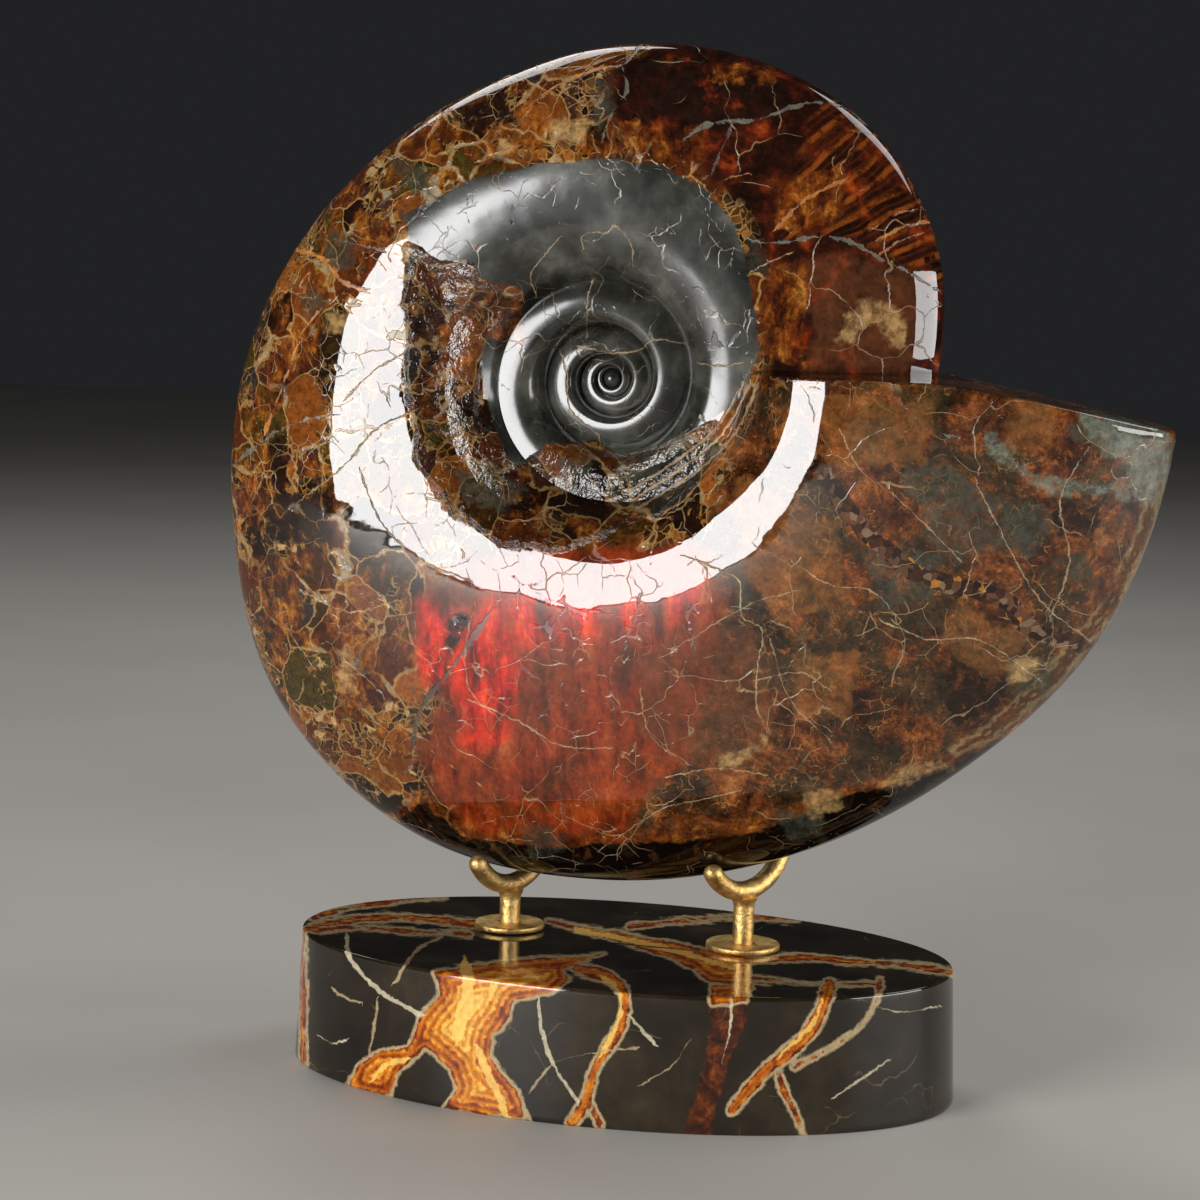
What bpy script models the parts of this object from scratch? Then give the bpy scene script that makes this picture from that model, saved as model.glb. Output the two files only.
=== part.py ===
"""A polished Craspedodiscus ammonite resting in two brass cradles on an oval base of veined stone.

Sizes are in millimetres and become metres as the meshes are made. +Z is up and +Y points away from
the viewer. The ammonite lies in a plane along X: its coil opens anticlockwise as seen from the front,
from the cut edge on the right, over the top, down the left and under, back to the cut.
"""

import math

import bmesh
import bpy
import numpy as np

MM = 0.001
GAP = 0.3  # between pieces that touch

# The ammonite's coil. A turn is counted along the umbilical seam, from -1 at the first chamber to 3
# at the cut.
COIL_X = -9.7
COIL_Y = 8.0
COIL_Z = 209.1
FIRST_CHAMBER = 2.9
FIRST_CHAMBER_HEIGHT = 4.0

# Radius of the umbilical seam at each quarter turn, from turn -1 to turn 4. Past turn 3 it only guides
# the mesh.
SEAM = (2.9, 3.6, 4.4, 5.3, 6.4, 7.0, 9.6, 10.4, 13.3, 15.8, 18.8, 21.0,
        25.0, 29.2, 31.2, 35.0, 45.0, 52.0, 58.0, 66.0, 80.0)

# Radius of the outer rim at each sixteenth of the last turn, from just above the cut to the cut.
RIM = (97.6, 104.5, 106.2, 102.6, 98.2, 95.4, 98.0, 105.6, 117.0,
       130.1, 147.3, 154.3, 152.1, 151.8, 155.0, 162.9, 166.8)
RIM_GROWTH = RIM[-1] / RIM[0]

# Radius at which the last whorl is thickest, at each quarter of its turn.
CREST = (46.0, 53.5, 63.0, 66.5, 83.0)

END_THICKNESS = 36.0  # half of it, at the cut
THICKNESS_GROWTH = 1.78  # in one turn
INNER_CREST = 1.35  # crest radius over seam radius in the round early whorls
INNER_RIM = 2.4
ROUND_UNTIL, ROUND_EASE = 1.25, 0.75  # turns over which the round whorls become the flat last one
FIRST_SEAM_HEIGHT = 0.9  # over the half thickness
OUTER_CREST = CREST[0] / SEAM[12]
WALL_POWER, WALL_EASE = 3.6, 0.75
FLANK_POWER, RIM_EASE = 1.85, 0.5

# The cut across the body chamber: level to CUT_BEND from the coil's centre, then dropping to the tip.
CUT_LEVEL = 4.2
CUT_BEND = 100.0
CUT_REACH = 67.0
CUT_DROP = 12.5
CUT_DROP_POWER = 1.3
CUT_COVE = 1.2  # rise where the cut meets the earlier whorl
COVE_REACH = 5.0  # from the umbilical seam to its full height
CUT_ROUNDING = 0.004  # roll-off of the cut towards the back, per millimetre squared

# The ammonite's mesh has one column of vertices for each step of the angle.
COLUMNS = 64
BAND_ROWS = 3  # between two seams
RIM_ROWS = 7  # from the last seam to the rim
RIM_CROWDING = 2.2
FIRST_CHAMBER_ROWS = 2
BEND_AFTER_CUT, BEND_BEFORE_CUT = 0.12, 0.3  # share of a turn in which the columns bend to the cut
MERGE_DISTANCE = 0.08

# The base
BASE_HALF_LENGTH = 100.0
BASE_HALF_DEPTH = 59.0
BASE_HEIGHT = 39.5
BASE_FULLNESS = 0.962  # 1 is a true ellipse
BASE_FLARE = 1.57  # at the foot
BASE_SIDES = 96
BASE_CHAMFER = 0.8
ROUND_MIDDLE = 0.3  # of a round edge's radius, from each face to the point halfway round
HOLE_DEPTH = 16.0
HOLE_OVERSHOOT = 5.0  # the hole's cutter above the top

# The cradles and their collars
POST_X = {"left": -38.1, "right": 35.3}
POST_Y = COIL_Y
POST_RADIUS = 3.15
POST_DEPTH = 15.0  # in the base
POST_SIDES = 16
FORK_BOTTOM = {"left": 53.45, "right": 57.3}  # middle of the bar
FORK_RADIUS = {"left": 17.5, "right": 16.2}
FORK_FRONT = {"left": math.radians(57), "right": math.radians(54)}
FORK_BACK = {"left": math.radians(62), "right": math.radians(66)}
FORK_TURN = {"left": math.radians(25), "right": math.radians(33)}  # the back arm is to the right
FORK_BAR_RADIUS = 2.95
FORK_STEPS = 14
FORK_SIDES = 14
FORK_END_SIZES = (0.95, 0.75, 0.35)  # of the rings that round off each end, against the bar
FORK_END_ROUND = 0.8  # length of the rounded end over the bar's radius
COLLAR_RADIUS = {"left": 10.7, "right": 11.1}
COLLAR_HEIGHT = 1.7
COLLAR_ROUND = 0.5
COLLAR_SIDES = 32


def clear_scene():
    for obj in list(bpy.data.objects):
        bpy.data.objects.remove(obj, do_unlink=True)


def material(name, colour, roughness, metallic):
    made = bpy.data.materials.new(name)
    made.use_nodes = True
    shader = made.node_tree.nodes["Principled BSDF"]
    shader.inputs["Base Color"].default_value = (*colour, 1.0)
    shader.inputs["Roughness"].default_value = roughness
    shader.inputs["Metallic"].default_value = metallic
    return made


def add_object(name, mesh_builder, finish, smooth_under=40.0):
    mesh = bpy.data.meshes.new(name)
    bmesh.ops.recalc_face_normals(mesh_builder, faces=mesh_builder.faces)
    mesh_builder.to_mesh(mesh)
    mesh_builder.free()
    mesh.shade_smooth()
    mesh.set_sharp_from_angle(angle=math.radians(smooth_under))
    obj = bpy.data.objects.new(name, mesh)
    obj.data.materials.append(finish)
    bpy.context.scene.collection.objects.link(obj)
    return obj


def add_cutter(name, mesh_builder, finish):
    obj = add_object(name, mesh_builder, finish)
    obj.hide_render = True
    obj.display_type = "WIRE"
    return obj


def boolean(obj, other, operation):
    modifier = obj.modifiers.new(operation.title(), "BOOLEAN")
    modifier.operation = operation
    modifier.object = other
    modifier.solver = "EXACT"


def through(values, at):
    """The smooth curve through evenly spaced values, read at a position counted in steps."""
    values = np.asarray(values, float)
    ends = (2 * values[0] - values[1], 2 * values[-1] - values[-2])
    padded = np.concatenate([[ends[0]], values, [ends[1]]])
    at = np.clip(at, 0, len(values) - 1)
    step = np.minimum(np.floor(at).astype(int), len(values) - 2)
    t = at - step
    before, start, end, after = (padded[step + k] for k in range(4))
    bend = 2 * before - 5 * start + 4 * end - after
    twist = 3 * start - before - 3 * end + after
    return start + 0.5 * ((end - before) * t + bend * t**2 + twist * t**3)


def smooth_step(value):
    value = np.clip(value, 0, 1)
    return value * value * (3 - 2 * value)


def seam_radius(turn):
    return through(SEAM, 4 * (np.asarray(turn, float) + 1))


def last_rim(turn):
    """Outer radius of the last whorl, 0 just above the cut and 1 at it."""
    return through(RIM, 16 * np.asarray(turn, float))


def half_thickness(turn):
    return END_THICKNESS * THICKNESS_GROWTH ** (turn - 3)


def whorl_rim(turn):
    outer = np.where(turn >= 2, last_rim(turn - 2), last_rim(turn - 1) / RIM_GROWTH)
    flattened = smooth_step((turn - ROUND_UNTIL) / ROUND_EASE)
    return outer + (INNER_RIM * seam_radius(turn) - outer) * (1 - flattened)


def crest_radius(turn):
    flattened = smooth_step((turn - ROUND_UNTIL) / ROUND_EASE)
    ratio = INNER_CREST + (OUTER_CREST - INNER_CREST) * flattened
    last = through(CREST, 4 * (np.asarray(turn, float) - 2))
    return np.where(turn >= 2, last, ratio * seam_radius(turn))


def seam_height(turn):
    """Half thickness at the umbilical seam, which lies on the whorl one turn earlier."""
    if np.max(turn) < 0:
        return FIRST_SEAM_HEIGHT * half_thickness(turn - 1)
    return flank(turn - 1, seam_radius(turn))


def flank(turn, radius):
    """Half thickness at a radius, of the whorl whose umbilical seam is at this turn."""
    seam, crest, rim = seam_radius(turn), crest_radius(turn), whorl_rim(turn)
    thick, start = half_thickness(turn), seam_height(turn)
    inward = np.clip((crest - radius) / (crest - seam), 0, 1)
    outward = np.clip((radius - crest) / (rim - crest), 0, 1)
    wall = start + (thick - start) * (1 - inward**WALL_POWER) ** WALL_EASE
    side = thick * (1 - outward**FLANK_POWER) ** RIM_EASE
    return np.where(radius < crest, wall, side)


def cut_height(radius, offset):
    """Height of the cut above the coil's centre, at an offset from the mid-plane (front is negative)."""
    drop = CUT_DROP * (np.maximum(radius - CUT_BEND, 0) / CUT_REACH) ** CUT_DROP_POWER
    return CUT_LEVEL - drop - CUT_ROUNDING * np.maximum(offset, 0) ** 2


def column_rows(part):
    """Radius and half thickness down one column, from the first chamber's edge to the rim."""
    radii = [np.array([FIRST_CHAMBER])]
    heights = [np.array([seam_height(np.float64(part - 2))])]
    for band in range(-2, 3):
        turn = part + band
        inner = seam_radius(turn) if band > -2 else FIRST_CHAMBER
        outer = seam_radius(turn + 1)
        along = np.arange(1, BAND_ROWS + 1) / BAND_ROWS
        radius = inner + (outer - inner) * along
        radii.append(radius)
        heights.append(flank(turn, radius))
    turn = part + 2
    inner = seam_radius(part + 3)
    along = 1 - (1 - np.arange(1, RIM_ROWS + 1) / RIM_ROWS) ** RIM_CROWDING
    radius = inner + (last_rim(part) - inner) * along
    radii.append(radius)
    heights.append(flank(turn, radius))
    return np.concatenate(radii), np.concatenate(heights)


def column_angles(part, radius, offset):
    """Angles down one column. Near the cut they bend so that the column ends on it."""
    edge = seam_radius(3.0)
    cove = CUT_COVE * (1 - part) * smooth_step((radius - edge) / COVE_REACH)
    level = cut_height(radius, offset) + cove
    lift = level / np.maximum(radius, edge) * np.minimum(radius / edge, 1) ** 2
    after = smooth_step(1 - part / BEND_AFTER_CUT)
    before = smooth_step(1 - (1 - part) / BEND_BEFORE_CUT)
    nearness = after + before
    return 2 * math.pi * part + np.arcsin(lift) * nearness


def coil_point(angle, radius, offset):
    return ((COIL_X + radius * math.cos(angle)) * MM, (COIL_Y + offset) * MM,
            (COIL_Z + radius * math.sin(angle)) * MM)


def add_grid(builder, columns):
    """Faces between neighbouring columns of vertices."""
    for left, right in zip(columns, columns[1:]):
        for row in range(len(left) - 1):
            corners = [left[row], left[row + 1], right[row + 1], right[row]]
            unique = list(dict.fromkeys(corners))
            if len(unique) > 2:
                builder.faces.new(unique)


def zip_rows(builder, first, second):
    """A strip of triangles between two rows that may differ in length."""
    i = j = 0
    while i < len(first) - 1 or j < len(second) - 1:
        take_first = j == len(second) - 1 or (
            i < len(first) - 1 and (i + 1) / (len(first) - 1) <= (j + 1) / (len(second) - 1))
        third = first[i + 1] if take_first else second[j + 1]
        corners = list(dict.fromkeys([first[i], second[j], third]))
        if len(corners) == 3:
            builder.faces.new(corners)
        i, j = (i + 1, j) if take_first else (i, j + 1)


def side_columns(builder, side, rim_vertices):
    """The columns of one face of the shell. The last one shares what lies inside the cut with the first."""
    columns = []
    hub = builder.verts.new(coil_point(0, 0, side * FIRST_CHAMBER_HEIGHT))
    chamber_edge = seam_height(np.float64(-2.0))
    for index in range(COLUMNS + 1):
        part = index / COLUMNS
        radii, heights = column_rows(part)
        angles = column_angles(part, radii, side * heights)
        column = [hub]
        for row in range(1, FIRST_CHAMBER_ROWS):
            share = row / FIRST_CHAMBER_ROWS
            dome = chamber_edge + (FIRST_CHAMBER_HEIGHT - chamber_edge) * math.sqrt(1 - share**2)
            column.append((2 * math.pi * part, share * FIRST_CHAMBER, side * dome))
        column += list(zip(angles[:-1], radii[:-1], side * heights[:-1]))
        if index == COLUMNS:
            # The last column's seams are one band further out than the first one's.
            kept = FIRST_CHAMBER_ROWS + 4 * BAND_ROWS + 1
            start = FIRST_CHAMBER_ROWS + BAND_ROWS
            shared = columns[0][:FIRST_CHAMBER_ROWS + 1] + columns[0][start + 1:kept + BAND_ROWS]
            new = [builder.verts.new(coil_point(*point)) for point in column[kept:]]
            columns.append(shared + new + [rim_vertices[index]])
        else:
            new = [builder.verts.new(coil_point(*point)) for point in column[1:]]
            columns.append([hub] + new + [rim_vertices[index]])
    return columns


def build_ammonite(finish):
    builder = bmesh.new()
    rim_vertices = []
    for index in range(COLUMNS + 1):
        part = index / COLUMNS
        rim = float(last_rim(part))
        angle = float(column_angles(part, np.array([rim]), np.array([0.0]))[0])
        rim_vertices.append(builder.verts.new(coil_point(angle, rim, 0)))
    cut_start = FIRST_CHAMBER_ROWS + 4 * BAND_ROWS
    for side in (-1, 1):
        columns = side_columns(builder, side, rim_vertices)
        add_grid(builder, columns)
        inner = columns[0][cut_start + BAND_ROWS:]
        outer = columns[-1][cut_start:]
        zip_rows(builder, inner, outer)
    bmesh.ops.remove_doubles(builder, verts=builder.verts, dist=MERGE_DISTANCE * MM)
    return add_object("ammonite", builder, finish)


def oval_ring(builder, height, grow):
    ring = []
    for index in range(BASE_SIDES):
        angle = 2 * math.pi * index / BASE_SIDES
        across = math.copysign(abs(math.sin(angle)) ** BASE_FULLNESS, math.sin(angle))
        along = (BASE_HALF_LENGTH + grow) * math.cos(angle)
        point = (along, (BASE_HALF_DEPTH + grow) * across, height)
        ring.append(builder.verts.new([value * MM for value in point]))
    return ring


def join_rings(builder, rings, cap_ends=True):
    for low, high in zip(rings, rings[1:]):
        for index in range(len(low)):
            after = (index + 1) % len(low)
            builder.faces.new((low[index], low[after], high[after], high[index]))
    if cap_ends:
        builder.faces.new(rings[0][::-1])
        builder.faces.new(rings[-1])


def upright_point(x, radius, angle, height):
    """A point around an upright axis in the shell's plane."""
    return ((x + radius * math.cos(angle)) * MM, (POST_Y + radius * math.sin(angle)) * MM, height * MM)


def cylinder(x, low, high, radius):
    builder = bmesh.new()
    rings = []
    for height in (low, high):
        angles = [2 * math.pi * index / POST_SIDES for index in range(POST_SIDES)]
        rings.append([builder.verts.new(upright_point(x, radius, angle, height)) for angle in angles])
    join_rings(builder, rings)
    return builder


def build_base(finish):
    builder = bmesh.new()
    edge = BASE_CHAMFER
    profile = ((0, BASE_FLARE - edge / 2), (edge / 2, BASE_FLARE), (BASE_HEIGHT - edge, 0),
               (BASE_HEIGHT - edge * ROUND_MIDDLE, -edge * ROUND_MIDDLE), (BASE_HEIGHT, -edge))
    join_rings(builder, [oval_ring(builder, height, grow) for height, grow in profile])
    base = add_object("base", builder, finish)
    for name, x in POST_X.items():
        low, high = BASE_HEIGHT - HOLE_DEPTH, BASE_HEIGHT + HOLE_OVERSHOOT
        hole = cylinder(x, low, high, POST_RADIUS + GAP)
        boolean(base, add_cutter(f"hole_{name}", hole, finish), "DIFFERENCE")
    return base


def fork_rings(builder, side):
    """The rings of the fork's bar, an arc in an upright plane, with rounded ends."""
    arc, turn = FORK_RADIUS[side], FORK_TURN[side]
    front, back = -FORK_FRONT[side], FORK_BACK[side]
    centre = np.array([POST_X[side], POST_Y, FORK_BOTTOM[side] + arc])
    along = np.array([math.sin(turn), math.cos(turn), 0])
    sideways = np.array([along[1], -along[0], 0])
    up = np.array([0, 0, 1])
    stations = [(front + (back - front) * step / FORK_STEPS, 1) for step in range(FORK_STEPS + 1)]
    for size in FORK_END_SIZES:
        beyond = math.sqrt(1 - size**2) * FORK_BAR_RADIUS * FORK_END_ROUND / arc
        stations = [(front - beyond, size)] + stations + [(back + beyond, size)]
    rings = []
    for angle, size in stations:
        outward = math.sin(angle) * along - math.cos(angle) * up
        place = centre + arc * outward
        ring = []
        for index in range(FORK_SIDES):
            spin = 2 * math.pi * index / FORK_SIDES
            spoke = math.cos(spin) * outward + math.sin(spin) * sideways
            point = place + FORK_BAR_RADIUS * size * spoke
            ring.append(builder.verts.new([float(value) * MM for value in point]))
        rings.append(ring)
    return rings


def build_cradle(side, finish):
    builder = bmesh.new()
    join_rings(builder, fork_rings(builder, side))
    cradle = add_object(f"cradle_{side}", builder, finish)
    post = cylinder(POST_X[side], BASE_HEIGHT - POST_DEPTH, FORK_BOTTOM[side], POST_RADIUS)
    boolean(cradle, add_cutter(f"post_{side}", post, finish), "UNION")
    return cradle


def build_collar(side, finish):
    """A flat ring around the post, with rounded edges."""
    inner, outer = POST_RADIUS + GAP, COLLAR_RADIUS[side]
    low, high = BASE_HEIGHT + GAP, BASE_HEIGHT + GAP + COLLAR_HEIGHT
    round_off = COLLAR_ROUND
    middle = round_off * ROUND_MIDDLE
    profile = [(inner, low), (outer - round_off / 2, low), (outer, low + round_off / 2),
               (outer, high - round_off), (outer - middle, high - middle),
               (outer - round_off, high), (inner, high)]
    builder = bmesh.new()
    rings = []
    for index in range(COLLAR_SIDES):
        angle = 2 * math.pi * index / COLLAR_SIDES
        rings.append([builder.verts.new(upright_point(POST_X[side], radius, angle, height))
                      for radius, height in profile])
    join_rings(builder, rings + rings[:1], cap_ends=False)
    return add_object(f"collar_{side}", builder, finish)


def main():
    clear_scene()
    fossil = material("fossil", (0.20, 0.09, 0.04), 0.15, 0.0)
    stone = material("veined_stone", (0.035, 0.035, 0.032), 0.15, 0.0)
    brass = material("brass", (0.72, 0.52, 0.22), 0.35, 1.0)
    build_ammonite(fossil)
    build_base(stone)
    for side in ("left", "right"):
        build_cradle(side, brass)
        build_collar(side, brass)


main()
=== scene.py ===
"""Looks of the polished ammonite, its two brass cradles and its base of veined stone.

Sizes are in millimetres and become metres as the meshes are made. Marks on the shell and on the base are
drawn in the picture's pixels. Each vertex is looked up there through the camera, so a mark lies on the
surface where it is seen.
"""

import math

import bmesh
import bpy
import numpy as np
from mathutils import Matrix, Vector


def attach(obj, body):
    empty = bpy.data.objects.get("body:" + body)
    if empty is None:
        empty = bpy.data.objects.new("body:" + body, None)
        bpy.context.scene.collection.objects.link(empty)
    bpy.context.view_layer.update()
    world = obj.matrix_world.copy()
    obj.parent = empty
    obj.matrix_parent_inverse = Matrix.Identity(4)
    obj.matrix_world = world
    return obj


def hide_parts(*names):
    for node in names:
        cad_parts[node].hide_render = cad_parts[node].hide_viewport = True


MM = 0.001

# The camera stands a little to the right of the shell's axis and looks slightly down.
CAMERA_AT = (243.1, -913.7, 260.7)
CAMERA_TURN = math.radians(15.48)
CAMERA_PITCH = math.radians(-7.053)
CAMERA_ROLL = math.radians(1.579)
PICTURE_SIDE = 1200
FOCAL_LENGTH = 3204.0  # in the picture's pixels
SENSOR = 36.0
NEAREST_SEEN = 0.05  # in metres

# The shell's coil. A turn is counted along the umbilical seam, from -1 at the first chamber to 3 at the cut.
COIL_X = -9.7
COIL_Y = 8.0
COIL_Z = 209.1
FIRST_CHAMBER = 2.9
FIRST_CHAMBER_HEIGHT = 4.0

# Radius of the umbilical seam at each quarter turn, from turn -1 to turn 4.
SEAM = (2.9, 3.6, 4.4, 5.3, 6.4, 7.0, 9.6, 10.4, 13.3, 15.8, 18.8, 21.0,
        25.0, 29.2, 31.2, 35.0, 45.0, 52.0, 58.0, 66.0, 80.0)

# Radius of the outer rim at each sixteenth of the last turn, from just above the cut to the cut.
RIM = (97.6, 104.5, 106.2, 102.6, 98.2, 95.4, 98.0, 105.6, 117.0,
       130.1, 147.3, 154.3, 152.1, 151.8, 155.0, 162.9, 166.8)
RIM_GROWTH = RIM[-1] / RIM[0]
RIM_INSET = 0.1  # keeps the finer mesh within the faceted solid

# Radius at which the last whorl is thickest, and how late its inner wall falls off, at each quarter turn.
CREST = (46.0, 53.5, 63.0, 66.5, 83.0)
WALL_POWER = (3.8, 3.4, 2.5, 2.7, 3.2)

END_THICKNESS = 36.0  # half of it, at the cut
THICKNESS_GROWTH = 1.78  # in one turn
INNER_CREST = 1.35
INNER_RIM = 2.4
OUTER_CREST = CREST[0] / SEAM[12]
ROUND_UNTIL, ROUND_EASE = 1.25, 0.75  # where the round inner whorls pass into the outer ones, in turns
FIRST_SEAM_HEIGHT = 0.9  # of half the thickness one turn earlier
WALL_EASE = 0.75
FLANK_POWER, RIM_EASE = 1.85, 0.5

CUT_LEVEL = 4.2
CUT_BEND = 100.0
CUT_REACH = 67.0
CUT_DROP = 12.5
CUT_DROP_POWER = 1.3
CUT_COVE = 1.2
COVE_REACH = 5.0
CUT_ROUNDING = 0.004
BEND_AFTER_CUT, BEND_BEFORE_CUT = 0.12, 0.3

# The shell's mesh: columns around each band between two seams, and rows across it.
FRONT_COLUMNS, FRONT_ROWS = (60, 100, 160, 280, 420), 20
BACK_COLUMNS, BACK_ROWS = (40, 60, 100, 160, 240), 10
FRONT_OUTER_COLUMNS, FRONT_OUTER_ROWS = 600, 96
BACK_OUTER_COLUMNS, BACK_OUTER_ROWS = 260, 24
RIM_CROWDING = 1.35
CHAMBER_ROWS = 5
EDGE_ROUND, ROUND_AT = 1.5, 120.0  # radius of the cut's edge, and how far from the centre it is so large
ROUND_RUNOUT = 15.0
EDGE_TAPER = 3.0
EDGE_STEPS = 4
CUT_ROWS = 14
CUT_EASE = 6.0
LEVEL_MARGIN = 0.1
MIDDLE_INSET = 0.3  # of the rounded edge
LAST_BAND_SHARE = 0.75  # of the outer columns
SHORTEST = 1e-6
MERGE_DISTANCE = 0.01


def srgb(code):
    """The linear colour of a hex code."""
    values = [int(code[k:k + 2], 16) / 255 for k in (0, 2, 4)]
    return tuple(v / 12.92 if v <= 0.04045 else ((v + 0.055) / 1.055) ** 2.4 for v in values)


def camera_axes():
    """The camera's right, up and forward directions."""
    forward = np.array([-math.sin(CAMERA_TURN) * math.cos(CAMERA_PITCH),
                        math.cos(CAMERA_TURN) * math.cos(CAMERA_PITCH), math.sin(CAMERA_PITCH)])
    level = np.array([math.cos(CAMERA_TURN), math.sin(CAMERA_TURN), 0])
    upward = np.cross(level, forward)
    right = math.cos(CAMERA_ROLL) * level + math.sin(CAMERA_ROLL) * upward
    up = -math.sin(CAMERA_ROLL) * level + math.cos(CAMERA_ROLL) * upward
    return right, up, forward


def in_picture(points):
    """Where points in millimetres fall in the picture, in its pixels."""
    right, up, forward = camera_axes()
    offset = points - np.array(CAMERA_AT)
    depth = offset @ forward
    return np.stack([PICTURE_SIDE / 2 + FOCAL_LENGTH * (offset @ right) / depth,
                     PICTURE_SIDE / 2 - FOCAL_LENGTH * (offset @ up) / depth], 1)


def add_camera():
    data = bpy.data.cameras.new("camera")
    data.sensor_width = SENSOR
    data.sensor_fit = "HORIZONTAL"
    data.lens = FOCAL_LENGTH / PICTURE_SIDE * SENSOR
    data.clip_start = NEAREST_SEEN
    camera = bpy.data.objects.new("camera", data)
    right, up, forward = camera_axes()
    placed = Matrix((right, up, -forward)).transposed().to_4x4()
    placed.translation = Vector(CAMERA_AT) * MM
    camera.matrix_world = placed
    bpy.context.scene.collection.objects.link(camera)
    bpy.context.scene.camera = camera


class Surface:
    """Rows of points, and the faces between them."""

    def __init__(self):
        self.points = []
        self.faces = []
        self.count = 0

    def row(self, points):
        """Adds points and returns their numbers."""
        points = np.atleast_2d(points)
        self.points.append(points)
        self.count += len(points)
        return list(range(self.count - len(points), self.count))

    def strip(self, low, low_at, high, high_at):
        """Faces between two rows of any lengths. Each comes with the positions of its points along it."""
        if len(low) == len(high):
            for k in range(len(low) - 1):
                self.faces.append((low[k], low[k + 1], high[k + 1], high[k]))
            return
        i = j = 0
        while i < len(low) - 1 or j < len(high) - 1:
            forward = j == len(high) - 1 or (i < len(low) - 1 and low_at[i + 1] <= high_at[j + 1])
            third = low[i + 1] if forward else high[j + 1]
            self.faces.append((low[i], third, high[j]))
            i, j = (i + 1, j) if forward else (i, j + 1)

    def object(self, name, finish, sharp_from=40.0):
        """The finished mesh, with equal points merged and normals outward."""
        mesh = bpy.data.meshes.new(name)
        mesh.from_pydata((np.concatenate(self.points) * MM).tolist(), [], self.faces)
        builder = bmesh.new()
        builder.from_mesh(mesh)
        bmesh.ops.remove_doubles(builder, verts=builder.verts, dist=MERGE_DISTANCE * MM)
        bmesh.ops.recalc_face_normals(builder, faces=builder.faces)
        builder.to_mesh(mesh)
        builder.free()
        mesh.shade_smooth()
        mesh.set_sharp_from_angle(angle=math.radians(sharp_from))
        obj = bpy.data.objects.new(name, mesh)
        obj.data.materials.append(finish)
        bpy.context.scene.collection.objects.link(obj)
        return obj


def through(values, at):
    """The smooth curve through evenly spaced values, read at a position counted in steps."""
    values = np.asarray(values, float)
    ends = (2 * values[0] - values[1], 2 * values[-1] - values[-2])
    padded = np.concatenate([[ends[0]], values, [ends[1]]])
    at = np.clip(at, 0, len(values) - 1)
    step = np.minimum(np.floor(at).astype(int), len(values) - 2)
    t = at - step
    before, start, end, after = (padded[step + k] for k in range(4))
    bend = 2 * before - 5 * start + 4 * end - after
    twist = 3 * start - before - 3 * end + after
    return start + 0.5 * ((end - before) * t + bend * t**2 + twist * t**3)


def smooth_step(value):
    value = np.clip(value, 0, 1)
    return value * value * (3 - 2 * value)


def seam_radius(turn):
    return through(SEAM, 4 * (np.asarray(turn, float) + 1))


def last_rim(part):
    """Outer radius of the last whorl, 0 just above the cut and 1 at it."""
    return through(RIM, 16 * np.asarray(part, float)) - RIM_INSET


def grown(turn):
    """0 on the round inner whorls and 1 on the outer ones."""
    return smooth_step((turn - ROUND_UNTIL) / ROUND_EASE)


def half_thickness(turn):
    return END_THICKNESS * THICKNESS_GROWTH ** (turn - 3)


def whorl_rim(turn):
    outer = np.where(turn >= 2, last_rim(turn - 2), last_rim(turn - 1) / RIM_GROWTH)
    return outer + (INNER_RIM * seam_radius(turn) - outer) * (1 - grown(turn))


def crest_radius(turn):
    ratio = INNER_CREST + (OUTER_CREST - INNER_CREST) * grown(turn)
    return np.where(turn >= 2, through(CREST, 4 * (np.asarray(turn, float) - 2)), ratio * seam_radius(turn))


def seam_height(turn):
    """Half thickness at the umbilical seam, which lies on the whorl one turn earlier."""
    first = FIRST_SEAM_HEIGHT * half_thickness(turn - 1)
    if np.max(turn) < 0:
        return first
    return np.where(turn < 0, first, flank(turn - 1, seam_radius(turn)))


def flank(turn, radius):
    """Half thickness at a radius, of the whorl whose umbilical seam is at this turn."""
    seam, crest, rim = seam_radius(turn), crest_radius(turn), whorl_rim(turn)
    thick, start = half_thickness(turn), seam_height(turn)
    inward = np.clip((crest - radius) / (crest - seam), 0, 1)
    outward = np.clip((radius - crest) / (rim - crest), 0, 1)
    power = through(WALL_POWER, 4 * (np.maximum(turn, 2) - 2))
    wall = start + (thick - start) * (1 - inward**power) ** WALL_EASE
    side = thick * (1 - outward**FLANK_POWER) ** RIM_EASE
    return np.where(radius < crest, wall, side)


def cut_height(radius, offset):
    """Height of the cut above the coil's centre, at an offset from the mid-plane (front is negative)."""
    drop = CUT_DROP * (np.maximum(radius - CUT_BEND, 0) / CUT_REACH) ** CUT_DROP_POWER
    return CUT_LEVEL - drop - CUT_ROUNDING * np.maximum(offset, 0) ** 2


def column_angles(part, radius, offset):
    """Angles around the coil. Near the cut they bend so that a column ends on it."""
    edge = seam_radius(3.0)
    cove = CUT_COVE * (1 - part) * smooth_step((radius - edge) / COVE_REACH)
    level = cut_height(radius, offset) + cove
    lift = level / np.maximum(radius, edge) * np.minimum(radius / edge, 1) ** 2
    nearness = smooth_step(1 - part / BEND_AFTER_CUT) + smooth_step(1 - (1 - part) / BEND_BEFORE_CUT)
    return 2 * math.pi * part + np.arcsin(lift) * nearness


def coil_points(angle, radius, offset):
    return np.stack(np.broadcast_arrays(COIL_X + radius * np.cos(angle), COIL_Y + offset,
                                        COIL_Z + radius * np.sin(angle)), -1)


def rounding(radius):
    """Radius of the cut's rounded edge, which runs out at the umbilical seam."""
    return EDGE_ROUND * radius / ROUND_AT * smooth_step((radius - seam_radius(3.0)) / ROUND_RUNOUT)


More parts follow.
